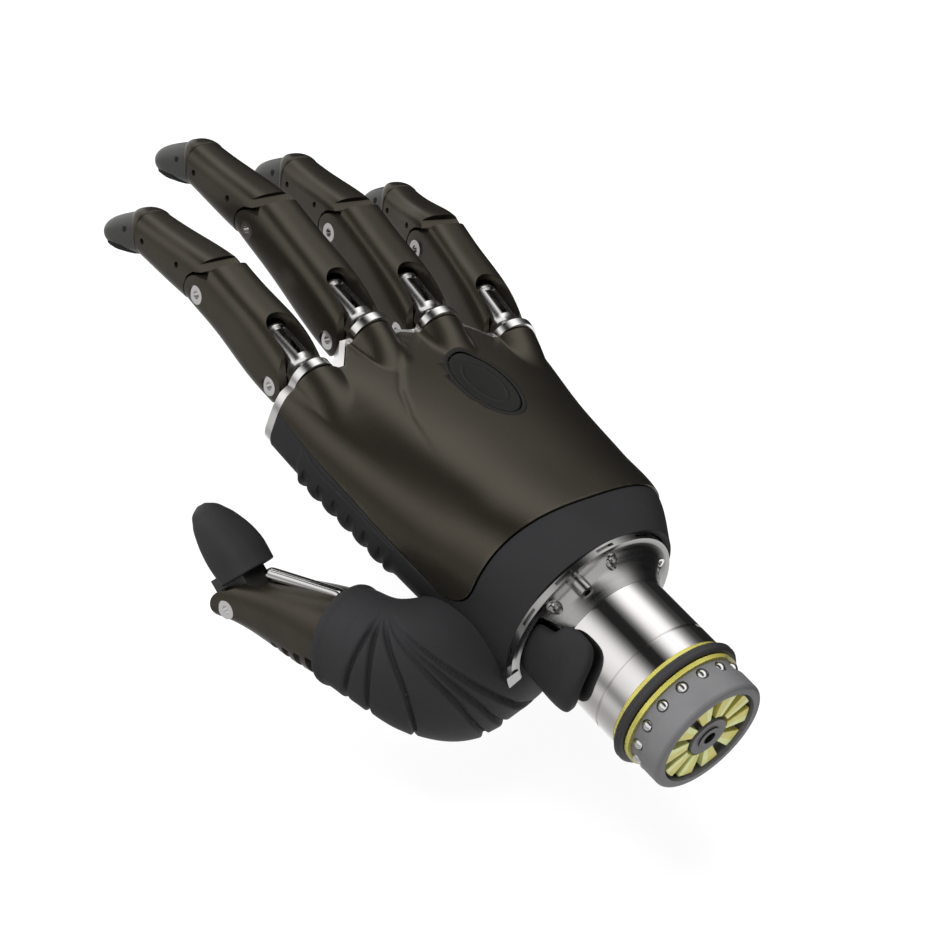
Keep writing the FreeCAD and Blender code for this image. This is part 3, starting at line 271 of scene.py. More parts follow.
# bar on top of the thumb, in the thumb's frame: its two ends, its half sizes, the powers of its oval and of
# its round ends
BAR_FROM = (0.0, 3.5, 10.0)
BAR_TO = (0.0, 27.4, 7.2)
BAR_HALF = (1.7, 1.6)
BAR_POWER = 2.6
BAR_END = 24

# contact wedges: how many, and where their flanks meet as a share of their pitch
WEDGES = 10
WEDGE_SHIFT = 0.25

# wrist seal: (radius, y) round its lip
SEAL_LIP = (
    (11.4, 11.1), (17.2, 11.1), (18.0, 11.35), (18.4, 11.9), (18.1, 12.3), (18.1, 12.5),
    (18.4, 12.9), (18.0, 13.45), (17.2, 13.7), (11.4, 13.7),
)

# program button: middle, half sizes, depth of its skirt, share of its size within which the cover's grid is
# drawn to its rim, how proud it stands, depth of its dish, its raised line (place, width, height) and rim
BUTTON_AT = (8.0, 105.0)
BUTTON_HALF = (7.0, 12.0)
BUTTON_SKIRT = (0.2, 1.8)
BUTTON_NEAR = 0.055
BUTTON_PROUD = 0.12
BUTTON_DISH = 0.3
BUTTON_LINE = (0.62, 0.035, 0.16)
BUTTON_RIM = (0.93, 0.9)
# gasket round the button: how far out its middle lies, its half width and half height
GASKET = (0.42, 0.62, 0.18)


def length(name, description, millimetres):
    """A size that a user may change."""
    return bpy.props.FloatProperty(
        name=name, description=description, default=millimetres * MM, unit="LENGTH", precision=4)


def colour(name, description, value):
    """A colour that a user may change, scene linear."""
    return bpy.props.FloatVectorProperty(
        name=name, description=description, default=value, subtype="COLOR", size=3, min=0, max=1)


class HandSizes(bpy.types.PropertyGroup):
    """Sizes of the modelled surfaces that a user may change."""
    cover_wall: length("Cover wall", "Thickness of the back cover", 1.8)
    cover_proud: length("Cover proud", "How far the cover stands over the palm", 0.4)
    ridge_blend: length("Ridge blend", "Width over which a knuckle ridge melts into the cover", 4.5)
    panel_step: length("Panel step", "Height of the middle panel's edge", 0.55)
    hollow_depth: length("Hollow depth", "Depth of the soft hollow beside the middle panel", 1.0)
    skin_wall: length("Palm skin", "Thickness of the palm's rubber skin", 1.8)
    fold_depth: length("Fold depth", "Depth of the boot's folds", 1.3)
    rib_height: length("Rib height", "Height of the grip ribs", 1.1)


class HandColours(bpy.types.PropertyGroup):
    """Colours of the finishes, scene linear."""
    paint: colour("Paint", "Satin olive-brown paint of the shells", (0.066, 0.058, 0.045))
    rubber: colour("Rubber", "Dark grey rubber of palm and boot", (0.0105, 0.0105, 0.0111))
    alloy: colour("Alloy", "Polished light alloy", (0.80, 0.79, 0.77))
    lime: colour("Lime", "Pale yellow-green contact wedges", (0.47, 0.50, 0.19))
    olive: colour("Olive band", "Translucent olive-yellow bands at the seal", (0.33, 0.30, 0.06))


def along(stations, place):
    """A table's values at a place: a cubic through its rows whose slopes are central differences."""
    table = np.asarray(stations, float)
    at, values = table[:, 0], table[:, 1:]
    slopes = np.gradient(values, at, axis=0)
    place = np.asarray(place, float)
    i = np.clip(np.searchsorted(at, place, side="right") - 1, 0, len(at) - 2)
    step = (at[i + 1] - at[i])[..., None]
    t = np.clip((place - at[i])[..., None] / step, 0.0, 1.0)
    start = values[i] * (1 + 2 * t) * (1 - t) ** 2 + slopes[i] * step * t * (1 - t) ** 2
    end = values[i + 1] * t * t * (3 - 2 * t) + slopes[i + 1] * step * t * t * (t - 1)
    return start + end


def columns_of(stations, place):
    """A table's values at a place, one array for each column."""
    return np.moveaxis(along(stations, place), -1, 0)


def shares(count):
    """Evenly spaced shares from nought to one, as a column."""
    return np.linspace(0.0, 1.0, count)[:, None]


def round_angles(count):
    """Evenly spaced angles once round, as a row."""
    return np.linspace(0.0, ONCE_ROUND, count, endpoint=False)[None, :]


def points_of(x, y, z):
    """Points from three coordinates that broadcast together."""
    return np.stack(np.broadcast_arrays(x, y, z), axis=-1)


def signed_power(value, power):
    """A value's size raised to a power, with its sign kept."""
    return np.sign(value) * np.abs(value) ** power


def oval(angle, half_w, half_h, power):
    """A superellipse: cosine and sine, each raised to two over its power with the sign kept."""
    return half_w * signed_power(np.cos(angle), 2 / power), half_h * signed_power(np.sin(angle), 2 / power)


def turn_x(degrees):
    """A turn about X."""
    a = math.radians(degrees)
    return np.array(((1, 0, 0), (0, math.cos(a), -math.sin(a)), (0, math.sin(a), math.cos(a))))


def turn_z(degrees):
    """A turn about Z."""
    a = math.radians(degrees)
    return np.array(((math.cos(a), -math.sin(a), 0), (math.sin(a), math.cos(a), 0), (0, 0, 1)))


def smooth_step(t):
    """Three t squared less two t cubed, between nought and one."""
    t = np.clip(t, 0.0, 1.0)
    return t * t * (3 - 2 * t)


def soft_max(a, b, width):
    """The larger of two heights, with the corner between them rounded over a width."""
    near = np.clip(width - np.abs(a - b), 0.0, None) / width
    return np.maximum(a, b) + near ** 2 * width / 4


def path_distance(x, y, path):
    """Distance to a polyline, its side (positive to the right of travel) and the share along it."""
    best = np.full(np.shape(x), 1e9)
    side = np.zeros(np.shape(x))
    share = np.zeros(np.shape(x))
    points = np.asarray(path, float)
    lengths = np.hypot(*np.diff(points, axis=0).T)
    gone = np.concatenate(([0.0], np.cumsum(lengths)))
    for i, stretch in enumerate(lengths):
        dx, dy = (points[i + 1] - points[i]) / stretch
        px, py = x - points[i, 0], y - points[i, 1]
        t = np.clip(px * dx + py * dy, 0.0, stretch)
        d = np.hypot(px - t * dx, py - t * dy)
        nearer = d < best
        best = np.where(nearer, d, best)
        side = np.where(nearer, np.sign(px * dy - py * dx), side)
        share = np.where(nearer, (gone[i] + t) / gone[-1], share)
    return best, side, share


def closed_curve(points, count):
    """A smooth closed curve through a few points: a periodic cubic whose slopes are central differences."""
    p = np.asarray(points, float)
    n = len(p)
    s = np.arange(count) * n / count
    i = s.astype(int)
    t = (s - i)[:, None]
    slope = 0.5 * (np.roll(p, -1, axis=0) - np.roll(p, 1, axis=0))
    a, b, ma, mb = p[i], p[(i + 1) % n], slope[i], slope[(i + 1) % n]
    start = a * (1 + 2 * t) * (1 - t) ** 2 + ma * t * (1 - t) ** 2
    return start + b * t * t * (3 - 2 * t) + mb * t * t * (t - 1)


def grid_normals(points):
    """Unit normals of a grid of points: the cross product of its two central differences."""
    normal = np.cross(np.gradient(points, axis=0), np.gradient(points, axis=1))
    return normal / np.maximum(np.linalg.norm(normal, axis=-1, keepdims=True), 1e-9)


def outward_sign(grid):
    """Plus or minus one, so that a grid's normals leave the hand."""
    middle = grid[grid.shape[0] // 2, grid.shape[1] // 2]
    normal = grid_normals(grid)[grid.shape[0] // 2, grid.shape[1] // 2]
    return 1.0 if normal @ (middle - (0.0, middle[1], 0.0)) > 0 else -1.0


def raised(grid, height):
    """A grid moved along its outward normals."""
    return grid + grid_normals(grid) * outward_sign(grid) * height[..., None]


def grid_faces(rows, columns, ring):
    """Quads between neighbours of a grid, the last column joined to the first on a ring."""
    index = np.arange(rows * columns).reshape(rows, columns)
    if ring:
        index = np.concatenate((index, index[:, :1]), axis=1)
    quads = np.stack((index[:-1, :-1], index[:-1, 1:], index[1:, 1:], index[1:, :-1]), axis=-1)
    return quads.reshape(-1, 4)


def pole_faces(row, pole):
    """Triangles from one closed row of vertex numbers to its pole."""
    return np.stack((row, np.roll(row, -1), np.full(len(row), pole)), axis=-1)


def piece_from(name, grids, ring=False, poles=False, outward=True, edge=None):
    """A piece in metres from one or more grids of points in millimetres, merged where they meet.

    With poles, the first and last row of each ring grid are closed by a point at their middle.
    """
    vertices = []
    faces = []
    edges = []
    start = 0
    for n, grid in enumerate(grids):
        rows, columns = grid.shape[:2]
        faces += (grid_faces(rows, columns, ring) + start).tolist()
        vertices.append(grid.reshape(-1, 3))
        edges.append(np.zeros(rows * columns) if edge is None else edge[n].reshape(-1))
        start += rows * columns
        if poles:
            first = np.arange(columns) + start - rows * columns
            last = first + (rows - 1) * columns
            vertices.append(np.stack((grid[0].mean(axis=0), grid[-1].mean(axis=0))))
            edges.append(np.zeros(2))
            faces += pole_faces(first[::-1], start).tolist()
            faces += pole_faces(last, start + 1).tolist()
            start += 2
    mesh = bpy.data.meshes.new(name)
    mesh.from_pydata((np.concatenate(vertices) * MM).tolist(), [], faces)
    mesh.attributes.new("edge", "FLOAT", "POINT").data.foreach_set(
        "value", np.concatenate(edges).astype(np.float32))
    form = bmesh.new()
    form.from_mesh(mesh)
    bmesh.ops.remove_doubles(form, verts=form.verts, dist=MERGE_GAP)
    if outward:
        bmesh.ops.recalc_face_normals(form, faces=form.faces)
    form.to_mesh(mesh)
    form.free()
    smooth(mesh)
    piece = bpy.data.objects.new(name, mesh)
    bpy.context.scene.collection.objects.link(piece)
    return piece


def smooth(mesh):
    """Shades every face of a mesh smooth."""
    mesh.polygons.foreach_set("use_smooth", np.ones(len(mesh.polygons), bool))


def face_values(piece, name):
    """The centre or the normal of every face, one row each."""
    values = np.empty(len(piece.data.polygons) * 3)
    piece.data.polygons.foreach_get(name, values)
    return values.reshape(-1, 3)


def face_up(piece, direction):
    """Turns a sheet's faces over if most of them look away from a direction."""
    if (face_values(piece, "normal") @ np.array(direction)).mean() < 0:
        piece.data.flip_normals()


def wall(piece, thickness, round_edge=0.0):
    """Gives a sheet its wall, inwards, and rounds the rim."""
    solid = piece.modifiers.new("wall", "SOLIDIFY")
    solid.thickness = thickness
    solid.offset = -1.0
    solid.use_even_offset = False
    if round_edge:
        bevel = piece.modifiers.new("rim", "BEVEL")
        bevel.width = round_edge
        bevel.segments = 2
        bevel.limit_method = "ANGLE"
        bevel.angle_limit = math.radians(RIM_ANGLE)


def paint_on(piece, finish):
    """Gives a piece one of the hand's finishes."""
    piece.data.materials.clear()
    piece.data.materials.append(MADE[finish])


def palm_oval(y, grow):
    """Centre, half sizes and power of the palm's section at y, grown all round."""
    cx, half_w, low, high, power = columns_of(PALM_STATIONS, y)
    return cx, half_w + grow, 0.5 * (low + high), 0.5 * (high - low) + grow, power


def palm_point(y, angle, grow):
    """Points of the palm's oval sections at y and an angle about their middles."""
    cx, half_w, middle, half_h, power = palm_oval(y, grow)
    x, z = oval(angle, half_w, half_h, power)
    return points_of(cx + x, y, middle + z)


def edge_angle(y, grow, gap):
    """Angle of the cover's side edge: where the oval meets the parting line and the round rear corner."""
    _, _, middle, half_h, power = palm_oval(y, grow)
    back = np.clip((COVER_REAR - gap + CORNER_R - y) / CORNER_R, 0.0, 1.0)
    line = PART_Z + PART_RISE * (y - COVER_REAR) - gap + CORNER_R * (1 - np.sqrt(1 - back ** 2))
    share = (line - middle) / half_h
    return np.arcsin(np.clip(signed_power(share, power / 2), -1.0, 1.0))


def side_angle(y, across, grow, gap, lower):
    """Angle at a share across: over the top between the side edges, or under the palm between them."""
    low = edge_angle(y, grow, gap)
    if lower:
        return low - (math.pi + 2 * low) * across
    return low + (math.pi - 2 * low) * across


def knuckle_line():
    """The cover's front edge seen from above: one straight stretch behind each knuckle."""
    points = []
    for spec in FINGERS.values():
        turn = turn_z(-spec["splay"])
        for side in (-KNUCKLE_HALF, KNUCKLE_HALF):
            points.append((np.array(spec["at"]) + turn @ (side, -KNUCKLE_BACK, 0))[:2])
    line = np.array(points)
    return np.vstack((line[0] + LINE_ENDS[0], line, line[-1] + LINE_ENDS[1]))


def front_of(across, grow, gap, lower):
    """The y of the knuckle line at each share across the cover (or the shell below it), by substitution."""
    line = knuckle_line()
    front = np.full(across.shape, PALM_STATIONS[-1][0] - KNUCKLE_BACK)
    for _ in range(6):
        angle = side_angle(front, across, grow, gap, lower)
        front = np.interp(palm_point(front, angle, grow)[..., 0], line[:, 0], line[:, 1])
    return front


def ridge_height(points, spec):
    """Height of a knuckle ridge: the top of a cone along its tube, steep past its sides and end."""
    turn = turn_z(spec["splay"])
    local = (points - np.array(spec["at"])) @ turn.T
    share = -local[..., 1] / RIDGE_L
    radius = RIDGE_R + (RIDGE_END_R - RIDGE_R) * np.clip(share, 0.0, 1.0)
    sink = RIDGE_SINK * np.clip(share - RIDGE_SINK_FROM, 0.0, None) ** 2
    axis = spec["at"][2] + TUBE_UP - RIDGE_DROP * share - sink
    reach = np.abs(local[..., 0]) / radius
    crown = axis + radius * np.sqrt(np.clip(1 - reach ** 2, 0.0, None))
    return np.where(reach < 1, crown, axis - RIDGE_FALL * (reach - 1) * radius)


def with_ridges(points, blend):
    """Lifts the upper side of a grid to the knuckle ridges with soft joins, and leaves its steep sides."""
    lifted = points.copy()
    upper = smooth_step((np.abs(grid_normals(points)[..., 2]) - LIFT_FROM) / LIFT_RANGE)
    for spec in FINGERS.values():
        joined = soft_max(lifted[..., 2], ridge_height(points, spec), blend)
        lifted[..., 2] = lifted[..., 2] + (joined - lifted[..., 2]) * upper
    return lifted


def cover_form(points):
    """How far the cover leaves its plain oval: a panel edge and a hollow, as heights along the normal."""
    sizes = bpy.context.scene.hand_sizes
    x, y = points[..., 0], points[..., 1]
    off, side, share = path_distance(x, y, PANEL_EDGE)
    fade = smooth_step((1 - share) / PANEL_FADE)
    start = smooth_step((share - GROOVE_START) / GROOVE_FADE)
    groove = np.exp(-(off / GROOVE_W) ** 2) * GROOVE_SHARE * start
    rise = smooth_step(0.5 - off * np.sign(side) / SHOULDER_W)
    shoulder = rise * np.exp(-(off / SHOULDER_L)) * SHOULDER_SHARE
    step = -sizes.panel_step / MM * fade * (groove - shoulder)
    away, _, gone = path_distance(x, y, HOLLOW)
    ends = smooth_step(gone / HOLLOW_IN) * smooth_step((1 - gone) / HOLLOW_OUT)
    hollow = -sizes.hollow_depth / MM * np.exp(-(away / HOLLOW_W) ** 2) * ends
    return step + hollow


def cover_height(x, y):
    """Height of the cover's upper face over a point: its oval, its panel form and the knuckle ridges."""
    sizes = bpy.context.scene.hand_sizes
    cx, half_w, middle, half_h, power = palm_oval(y, sizes.cover_proud / MM)
    top = middle + half_h * (1 - np.abs((x - cx) / half_w) ** power) ** (1 / power)
    points = points_of(x, y, top)
    height = top + cover_form(points)
    for spec in FINGERS.values():
        height = soft_max(height, ridge_height(points, spec), sizes.ridge_blend / MM)
    return height


def knuckle_frame(spec, bend):
    """Turn of a finger segment at rest, bent down from the proximal's rise."""
    return turn_z(-spec["splay"]) @ turn_x(spec["rise"] - bend)


def middle_frame(spec):
    """Turn and origin of a middle segment at rest."""
    origin = np.array(spec["at"]) + knuckle_frame(spec, 0.0) @ (0, spec["lp"], 0)
    return knuckle_frame(spec, REST_BEND), origin


def tip_frame(spec):
    """Turn and origin of a fingertip at rest."""
    turn, origin = middle_frame(spec)
    return knuckle_frame(spec, REST_BEND + TIP_BEND), origin + turn @ (0, spec["lm"], 0)


def thumb_base():
    """Turn of the thumb's shell at rest."""
    return turn_z(THUMB_YAW) @ turn_x(-THUMB_PITCH)


def thumb_tip_frame():
    """Turn and origin of the thumb's tip at rest."""
    base = thumb_base()
    origin = np.array(CUFF) + base @ (0, THUMB_L, -IP_DROP)
    return base @ turn_x(THUMB_TIP_BEND), origin


def fill(tree, node, inputs):
    """Sets each named or numbered input of a node to a value, or links it to a socket."""
    for label, value in inputs.items():
        if isinstance(value, bpy.types.NodeSocket):
            tree.links.new(value, node.inputs[label])
        else:
            node.inputs[label].default_value = value


def add(tree, kind, inputs=None, **settings):
    """A new node with its settings and its inputs."""
    node = tree.nodes.new(kind)
    for key, value in settings.items():
        setattr(node, key, value)
    fill(tree, node, inputs or {})
    return node


def math_of(tree, operation, *values):
    """The result of a Math node on numbers and sockets."""
    return add(tree, "ShaderNodeMath", dict(enumerate(values)), operation=operation).outputs["Value"]


def node_group(name, values, outputs):
    """An empty shader group on a vector and named numbers: the group, its inputs and its outputs."""
    group = bpy.data.node_groups.new(name, "ShaderNodeTree")
    group.interface.new_socket("Vector", in_out="INPUT", socket_type="NodeSocketVector")
    for label, default in values.items():
        socket = group.interface.new_socket(label, in_out="INPUT", socket_type="NodeSocketFloat")
        socket.default_value = default
    for label in outputs:
        group.interface.new_socket(label, in_out="OUTPUT", socket_type="NodeSocketFloat")
    return group, add(group, "NodeGroupInput").outputs, add(group, "NodeGroupOutput")


def grain_group():
    """Fine and broad unevenness of a moulded or painted surface."""
    group, given, leave = node_group(
        "surface grain", {"Fine Scale": 2600.0, "Broad Scale": 45.0}, ("Fine", "Broad"))
    for label, detail in (("Fine", 3.0), ("Broad", 2.0)):
        noise = add(group, "ShaderNodeTexNoise", {
            "Vector": given["Vector"], "Scale": given[f"{label} Scale"], "Detail": detail})
        fill(group, leave, {label: noise.outputs["Fac"]})


def turning_group():
    """Turning marks round the wrist axis: noise that changes fast along Y and slowly across it."""
    group, given, leave = node_group("turning marks", {"Lines": 3200.0}, ("Marks",))
    split = add(group, "ShaderNodeSeparateXYZ", {"Vector": given["Vector"]}).outputs
    mixed = add(group, "ShaderNodeCombineXYZ", {
        "X": math_of(group, "MULTIPLY", split["X"], 60.0),
        "Y": math_of(group, "MULTIPLY", split["Y"], given["Lines"])})
    noise = add(group, "ShaderNodeTexNoise", {"Vector": mixed.outputs["Vector"], "Scale": 1.0, "Detail": 2.0})
    fill(group, leave, {"Marks": noise.outputs["Fac"]})


def wear_group():
    """Handling wear: the rim mask of a piece, broken up by noise."""
    group, given, leave = node_group("rim wear", {"Amount": 1.0}, ("Mask",))
    rim = add(group, "ShaderNodeAttribute", attribute_name="edge").outputs["Fac"]
    noise = add(group, "ShaderNodeTexNoise", {"Vector": given["Vector"], "Scale": 420.0, "Detail": 4.0})
    breakup = add(group, "ShaderNodeMapRange", {
        "Value": noise.outputs["Fac"], "From Min": 0.42, "From Max": 0.68})
    joined = math_of(group, "MULTIPLY", rim, breakup.outputs["Result"])
    fill(group, leave, {"Mask": math_of(group, "MULTIPLY", joined, given["Amount"])})


def blank_material(name):
    """A material with only its shader, its output and the object's coordinates."""
    material = bpy.data.materials.new(name)
    material.use_nodes = True
    tree = material.node_tree
    tree.nodes.clear()
    shader = add(tree, "ShaderNodeBsdfPrincipled")
    add(tree, "ShaderNodeOutputMaterial", {"Surface": shader.outputs["BSDF"]})
    return material, tree, shader, add(tree, "ShaderNodeTexCoord").outputs["Object"]


def use_group(tree, name, vector, **values):
    """The outputs of a shared group, placed in a material with its own values."""
    inputs = {label.replace("_", " "): value for label, value in values.items()}
    node = add(tree, "ShaderNodeGroup", {"Vector": vector, **inputs}, node_tree=bpy.data.node_groups[name])
    return node.outputs


def spread_of(tree, value, low, high):
    """The middle range of a noise stretched from low to high."""
    return add(tree, "ShaderNodeMapRange", {
        "Value": value, "From Min": 0.3, "From Max": 0.7, "To Min": low, "To Max": high}).outputs["Result"]


def two_tone(tree, mask, first, second):
    """Two colours mixed by a mask; the first may be a socket."""
    start = first if isinstance(first, bpy.types.NodeSocket) else (*first, 1)
    mix = add(tree, "ShaderNodeMix", {"Factor": mask, "A": start, "B": (*second, 1)}, data_type="RGBA")
    return mix.outputs["Result"]


def bump(tree, height, strength, depth):
    """Normals of a relief that is a depth in millimetres high."""
    return add(tree, "ShaderNodeBump", {
        "Height": height, "Strength": strength, "Distance": depth * MM}).outputs["Normal"]


def shade(tone, factor):
    """A colour made darker or lighter."""
    return tuple(c * factor for c in tone)


def grained(name, tone, second, rough, grain, depth, metallic, wear, broad, specular=0.5):
    """A surface of two close tones with fine grain in its roughness and relief, worn at its rim."""
    material, tree, shader, vector = blank_material(name)
    noise = use_group(tree, "surface grain", vector, Fine_Scale=grain, Broad_Scale=broad)
    surface = two_tone(tree, spread_of(tree, noise["Broad"], 0.0, 1.0), tone, second)
    if wear:
        rim = use_group(tree, "rim wear", vector, Amount=0.6)
        surface = two_tone(tree, rim["Mask"], surface, wear)
    fill(tree, shader, {
        "Base Color": surface, "Roughness": spread_of(tree, noise["Fine"], *rough),
        "Normal": bump(tree, noise["Fine"], 0.35, depth), "Metallic": metallic,
        "Specular IOR Level": specular})
    return material


def wedge_plastic(name, pale, shaded_flank, rough):
    """Contact wedges in their pale colour, with one flank darker by the angle about the wrist axis: painted
    shade on the flank turned from the light.
    """
    material, tree, shader, vector = blank_material(name)
    split = add(tree, "ShaderNodeSeparateXYZ", {"Vector": vector}).outputs
    angle = math_of(tree, "ARCTAN2", split["Z"], split["X"])
    turns = math_of(tree, "MULTIPLY_ADD", angle, WEDGES / ONCE_ROUND, WEDGES + WEDGE_SHIFT)
    flank = add(tree, "ShaderNodeMapRange", {
        "Value": math_of(tree, "FRACT", turns), "From Min": 0.47, "From Max": 0.53})
    grain = use_group(tree, "surface grain", vector, Fine_Scale=1800.0)
    fill(tree, shader, {
        "Base Color": two_tone(tree, flank.outputs["Result"], pale, shaded_flank),
        "Roughness": spread_of(tree, grain["Fine"], *rough),
        "Normal": bump(tree, grain["Fine"], 0.35, 0.01)})
    return material


def turned_metal(name, tone, rough, lines, depth):
    """Metal turned on a lathe: fine marks round the wrist axis."""
    material, tree, shader, vector = blank_material(name)
    marks = use_group(tree, "turning marks", vector, Lines=lines)["Marks"]
    grain = use_group(tree, "surface grain", vector, Broad_Scale=70.0)
    fill(tree, shader, {
        "Base Color": two_tone(tree, spread_of(tree, grain["Broad"], 0.0, 1.0), tone, shade(tone, 0.93)),
        "Roughness": spread_of(tree, marks, *rough), "Normal": bump(tree, marks, 0.3, depth),
        "Metallic": 1.0})
    return material


MADE = {}


def make_materials():
    """Makes every finish of the hand and keeps it by its name."""
    colours = bpy.context.scene.hand_colours
    names = ("paint", "rubber", "alloy", "lime", "olive")
    paint, rubber, alloy, lime, olive = (tuple(getattr(colours, name)) for name in names)
    grain_group()
    turning_group()
    wear_group()
    # two tones, roughness, grain, relief, metal share, worn tone, blotches, mirror level
    grained_rows = (
        ("satin_paint", paint, shade(paint, 0.88), (0.27, 0.33), 5200, 0.005, 0.92, shade(paint, 1.8), 30),
        ("finger_paint", shade(paint, 0.95), shade(paint, 0.84), (0.27, 0.34), 5200, 0.005, 0.9, None, 60),
        ("grip_rubber", rubber, shade(rubber, 0.85), (0.52, 0.66), 3400, 0.03, 0.0, None, 60, 0.16),
        ("boot_rubber", shade(rubber, 1.15), rubber, (0.5, 0.62), 3000, 0.03, 0.0, None, 50, 0.16),
        ("fingertip_grey", (0.030, 0.029, 0.027), (0.025, 0.025, 0.023),
         (0.36, 0.46), 3600, 0.012, 0.5, None, 80),
        ("pad_black", (0.006, 0.006, 0.0064), (0.008, 0.008, 0.008),
         (0.5, 0.65), 2600, 0.03, 0.0, None, 45, 0.05),
        ("thumb_cap_rubber", shade(rubber, 1.1), shade(rubber, 0.9),
         (0.46, 0.58), 3600, 0.02, 0.0, None, 70, 0.22),
        ("button_black", (0.0065, 0.0063, 0.006), (0.005, 0.0049, 0.0047),
         (0.42, 0.55), 2400, 0.02, 0.0, None, 45, 0.16),
        ("black_plastic", (0.008, 0.0077, 0.0075), (0.011, 0.0105, 0.010),
         (0.28, 0.4), 2200, 0.01, 0.0, None, 45),
        ("seal_rubber", (0.018, 0.017, 0.018), (0.013, 0.013, 0.013),
         (0.42, 0.55), 2600, 0.02, 0.0, None, 45, 0.3),
        ("drum_plastic", (0.078, 0.078, 0.080), (0.068, 0.068, 0.070),
         (0.40, 0.5), 2800, 0.015, 0.0, None, 90, 0.3),
        ("band_olive", olive, shade(olive, 0.75), (0.2, 0.3), 1800, 0.01, 0.3, None, 120),
        ("board_lacquer", (0.02, 0.10, 0.04), (0.015, 0.08, 0.03), (0.4, 0.5), 1500, 0.01, 0.0, None, 45),
    )
    for row in grained_rows:
        MADE[row[0]] = grained(*row)
    # tone, roughness, marks to the metre, relief
    turned_rows = (
        ("bush_bronze", (0.55, 0.34, 0.16), (0.25, 0.35), 3200, 0.004),
        ("turned_chrome", (0.80, 0.78, 0.77), (0.05, 0.10), 2600, 0.002),
        ("polished_alloy", alloy, (0.14, 0.24), 2000, 0.004),
        ("tube_alloy", shade(alloy, 0.94), (0.18, 0.28), 3000, 0.004),
        # the flange takes the light alloy at under half its tone: painted shade
        ("flange_alloy", shade(alloy, 0.46), (0.16, 0.26), 2000, 0.004),
        ("bright_steel", (0.76, 0.75, 0.74), (0.1, 0.18), 1800, 0.002),
    )
    for row in turned_rows:
        MADE[row[0]] = turned_metal(*row)
    # the darker olive flank of each wedge is painted shade
    MADE["wedge_lime"] = wedge_plastic("wedge_lime", lime, shade(olive, 1.3), (0.34, 0.46))


# finish of each carried-over node
FINISHES = (
    ("drum_plastic", ("coupling_drum",)),
    ("bright_steel", ("coupling_balls", "shaft_circlip", "flange_screws", "thumb_bend_pin", "thumb_ip_pin",
                      *(f"{n}_pins" for n in FINGERS), *(f"{n}_push_rod" for n in FINGERS))),
    ("wedge_lime", ("coupling_wedges",)),
    ("black_plastic", ("coax_plug", "button_switch", "finger_motors", "thumb_tip_core", "thumb_carrier",
                       "thumb_bracket")),
    ("band_olive", ("friction_band", "band_rear")),
    ("turned_chrome", ("wrist_barrel",)),
    ("bush_bronze", ("wrist_bush",)),
    ("polished_alloy", ("chassis_frame",)),
    ("flange_alloy", ("wrist_flange",)),
    ("tube_alloy", ("drive_tubes",)),
    ("board_lacquer", ("control_board",)),
    ("finger_paint", ("thumb_shell", *(f"{n}_proximal" for n in FINGERS), *(f"{n}_middle" for n in FINGERS))),
    ("fingertip_grey", tuple(f"{n}_fingertip" for n in FINGERS)),
)


class HAND_OT_finishes(bpy.types.Operator):
    """Give every carried-over part its finish and smooth its curved faces"""
    bl_idname = "hand.finishes"
    bl_label = "Finish the parts"

    def execute(self, context):
        make_materials()
        for finish, nodes in FINISHES:
            for name in nodes:
                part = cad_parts[name]
                part.data.materials.clear()
                part.data.materials.append(MADE[finish])
                smooth(part.data)
                weld = part.modifiers.new("weld", "WELD")
                weld.merge_threshold = WELD_GAP
                split = part.modifiers.new("sharp edges", "EDGE_SPLIT")
                split.split_angle = math.radians(SHARP_ANGLE)
        return {"FINISHED"}


class HAND_OT_cover(bpy.types.Operator):
    """Make the painted back cover: a palm oval with knuckle ridges, a panel edge and a soft hollow"""
    bl_idname = "hand.cover"
    bl_label = "Back cover"

    def execute(self, context):
        sizes = context.scene.hand_sizes
        grow = sizes.cover_proud / MM
        rows, across = shares(COVER_GRID[0]), shares(COVER_GRID[1])[:, 0]
        y = COVER_REAR + (front_of(across, grow, 0.0, False) - COVER_REAR) * rows
        grid = palm_point(y, side_angle(y, across[None, :], grow, 0.0, False), grow)
        grid = with_ridges(raised(grid, cover_form(grid)), sizes.ridge_blend / MM)
        ends, sides = np.minimum(rows, 1 - rows), np.minimum(across, 1 - across)[None, :]
        rim = np.minimum(ends * RIM_PARTS[0], sides * RIM_PARTS[1])
        cover = piece_from("back_cover", [oval_hole(grid)], outward=False, edge=[1 - smooth_step(rim)])
        cut_oval(cover)
        face_up(cover, (0.0, 0.0, 1.0))
        wall(cover, sizes.cover_wall, COVER_ROUND * MM)
        paint_on(cover, "satin_paint")
        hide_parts("dorsal_cover")
        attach(cover, "palm")
        return {"FINISHED"}


def button_reach(points):
    """Distance from the button's middle as a share of the cover's hole for it."""
    x = (points[..., 0] - BUTTON_AT[0]) / (BUTTON_HALF[0] + PANEL_GAP)
    y = (points[..., 1] - BUTTON_AT[1]) / (BUTTON_HALF[1] + PANEL_GAP)
    return np.hypot(x, y)


def oval_hole(grid):
    """Draws the grid points nearest the button's oval onto its edge, so that the hole has a clean rim."""
    reach = button_reach(grid)
    near = (np.abs(reach - 1) < BUTTON_NEAR) & (grid[..., 2] > 0)
    before, moved = grid[near], grid.copy()
    after = before.copy()
    after[:, :2] = BUTTON_AT + (before[:, :2] - BUTTON_AT) * (1 / reach[near])[:, None]
    after[:, 2] += cover_height(after[:, 0], after[:, 1]) - cover_height(before[:, 0], before[:, 1])
    moved[near] = after
    return moved


def cut_oval(piece):
    """Takes out the faces whose centre lies inside the button's oval."""
    centres = face_values(piece, "center") / MM
    inner = np.flatnonzero((button_reach(centres) < 1.0) & (centres[:, 2] > 0))
    form = bmesh.new()
    form.from_mesh(piece.data)
    form.faces.ensure_lookup_table()
    bmesh.ops.delete(form, geom=[form.faces[i] for i in inner], context="FACES")
    form.to_mesh(piece.data)
    form.free()


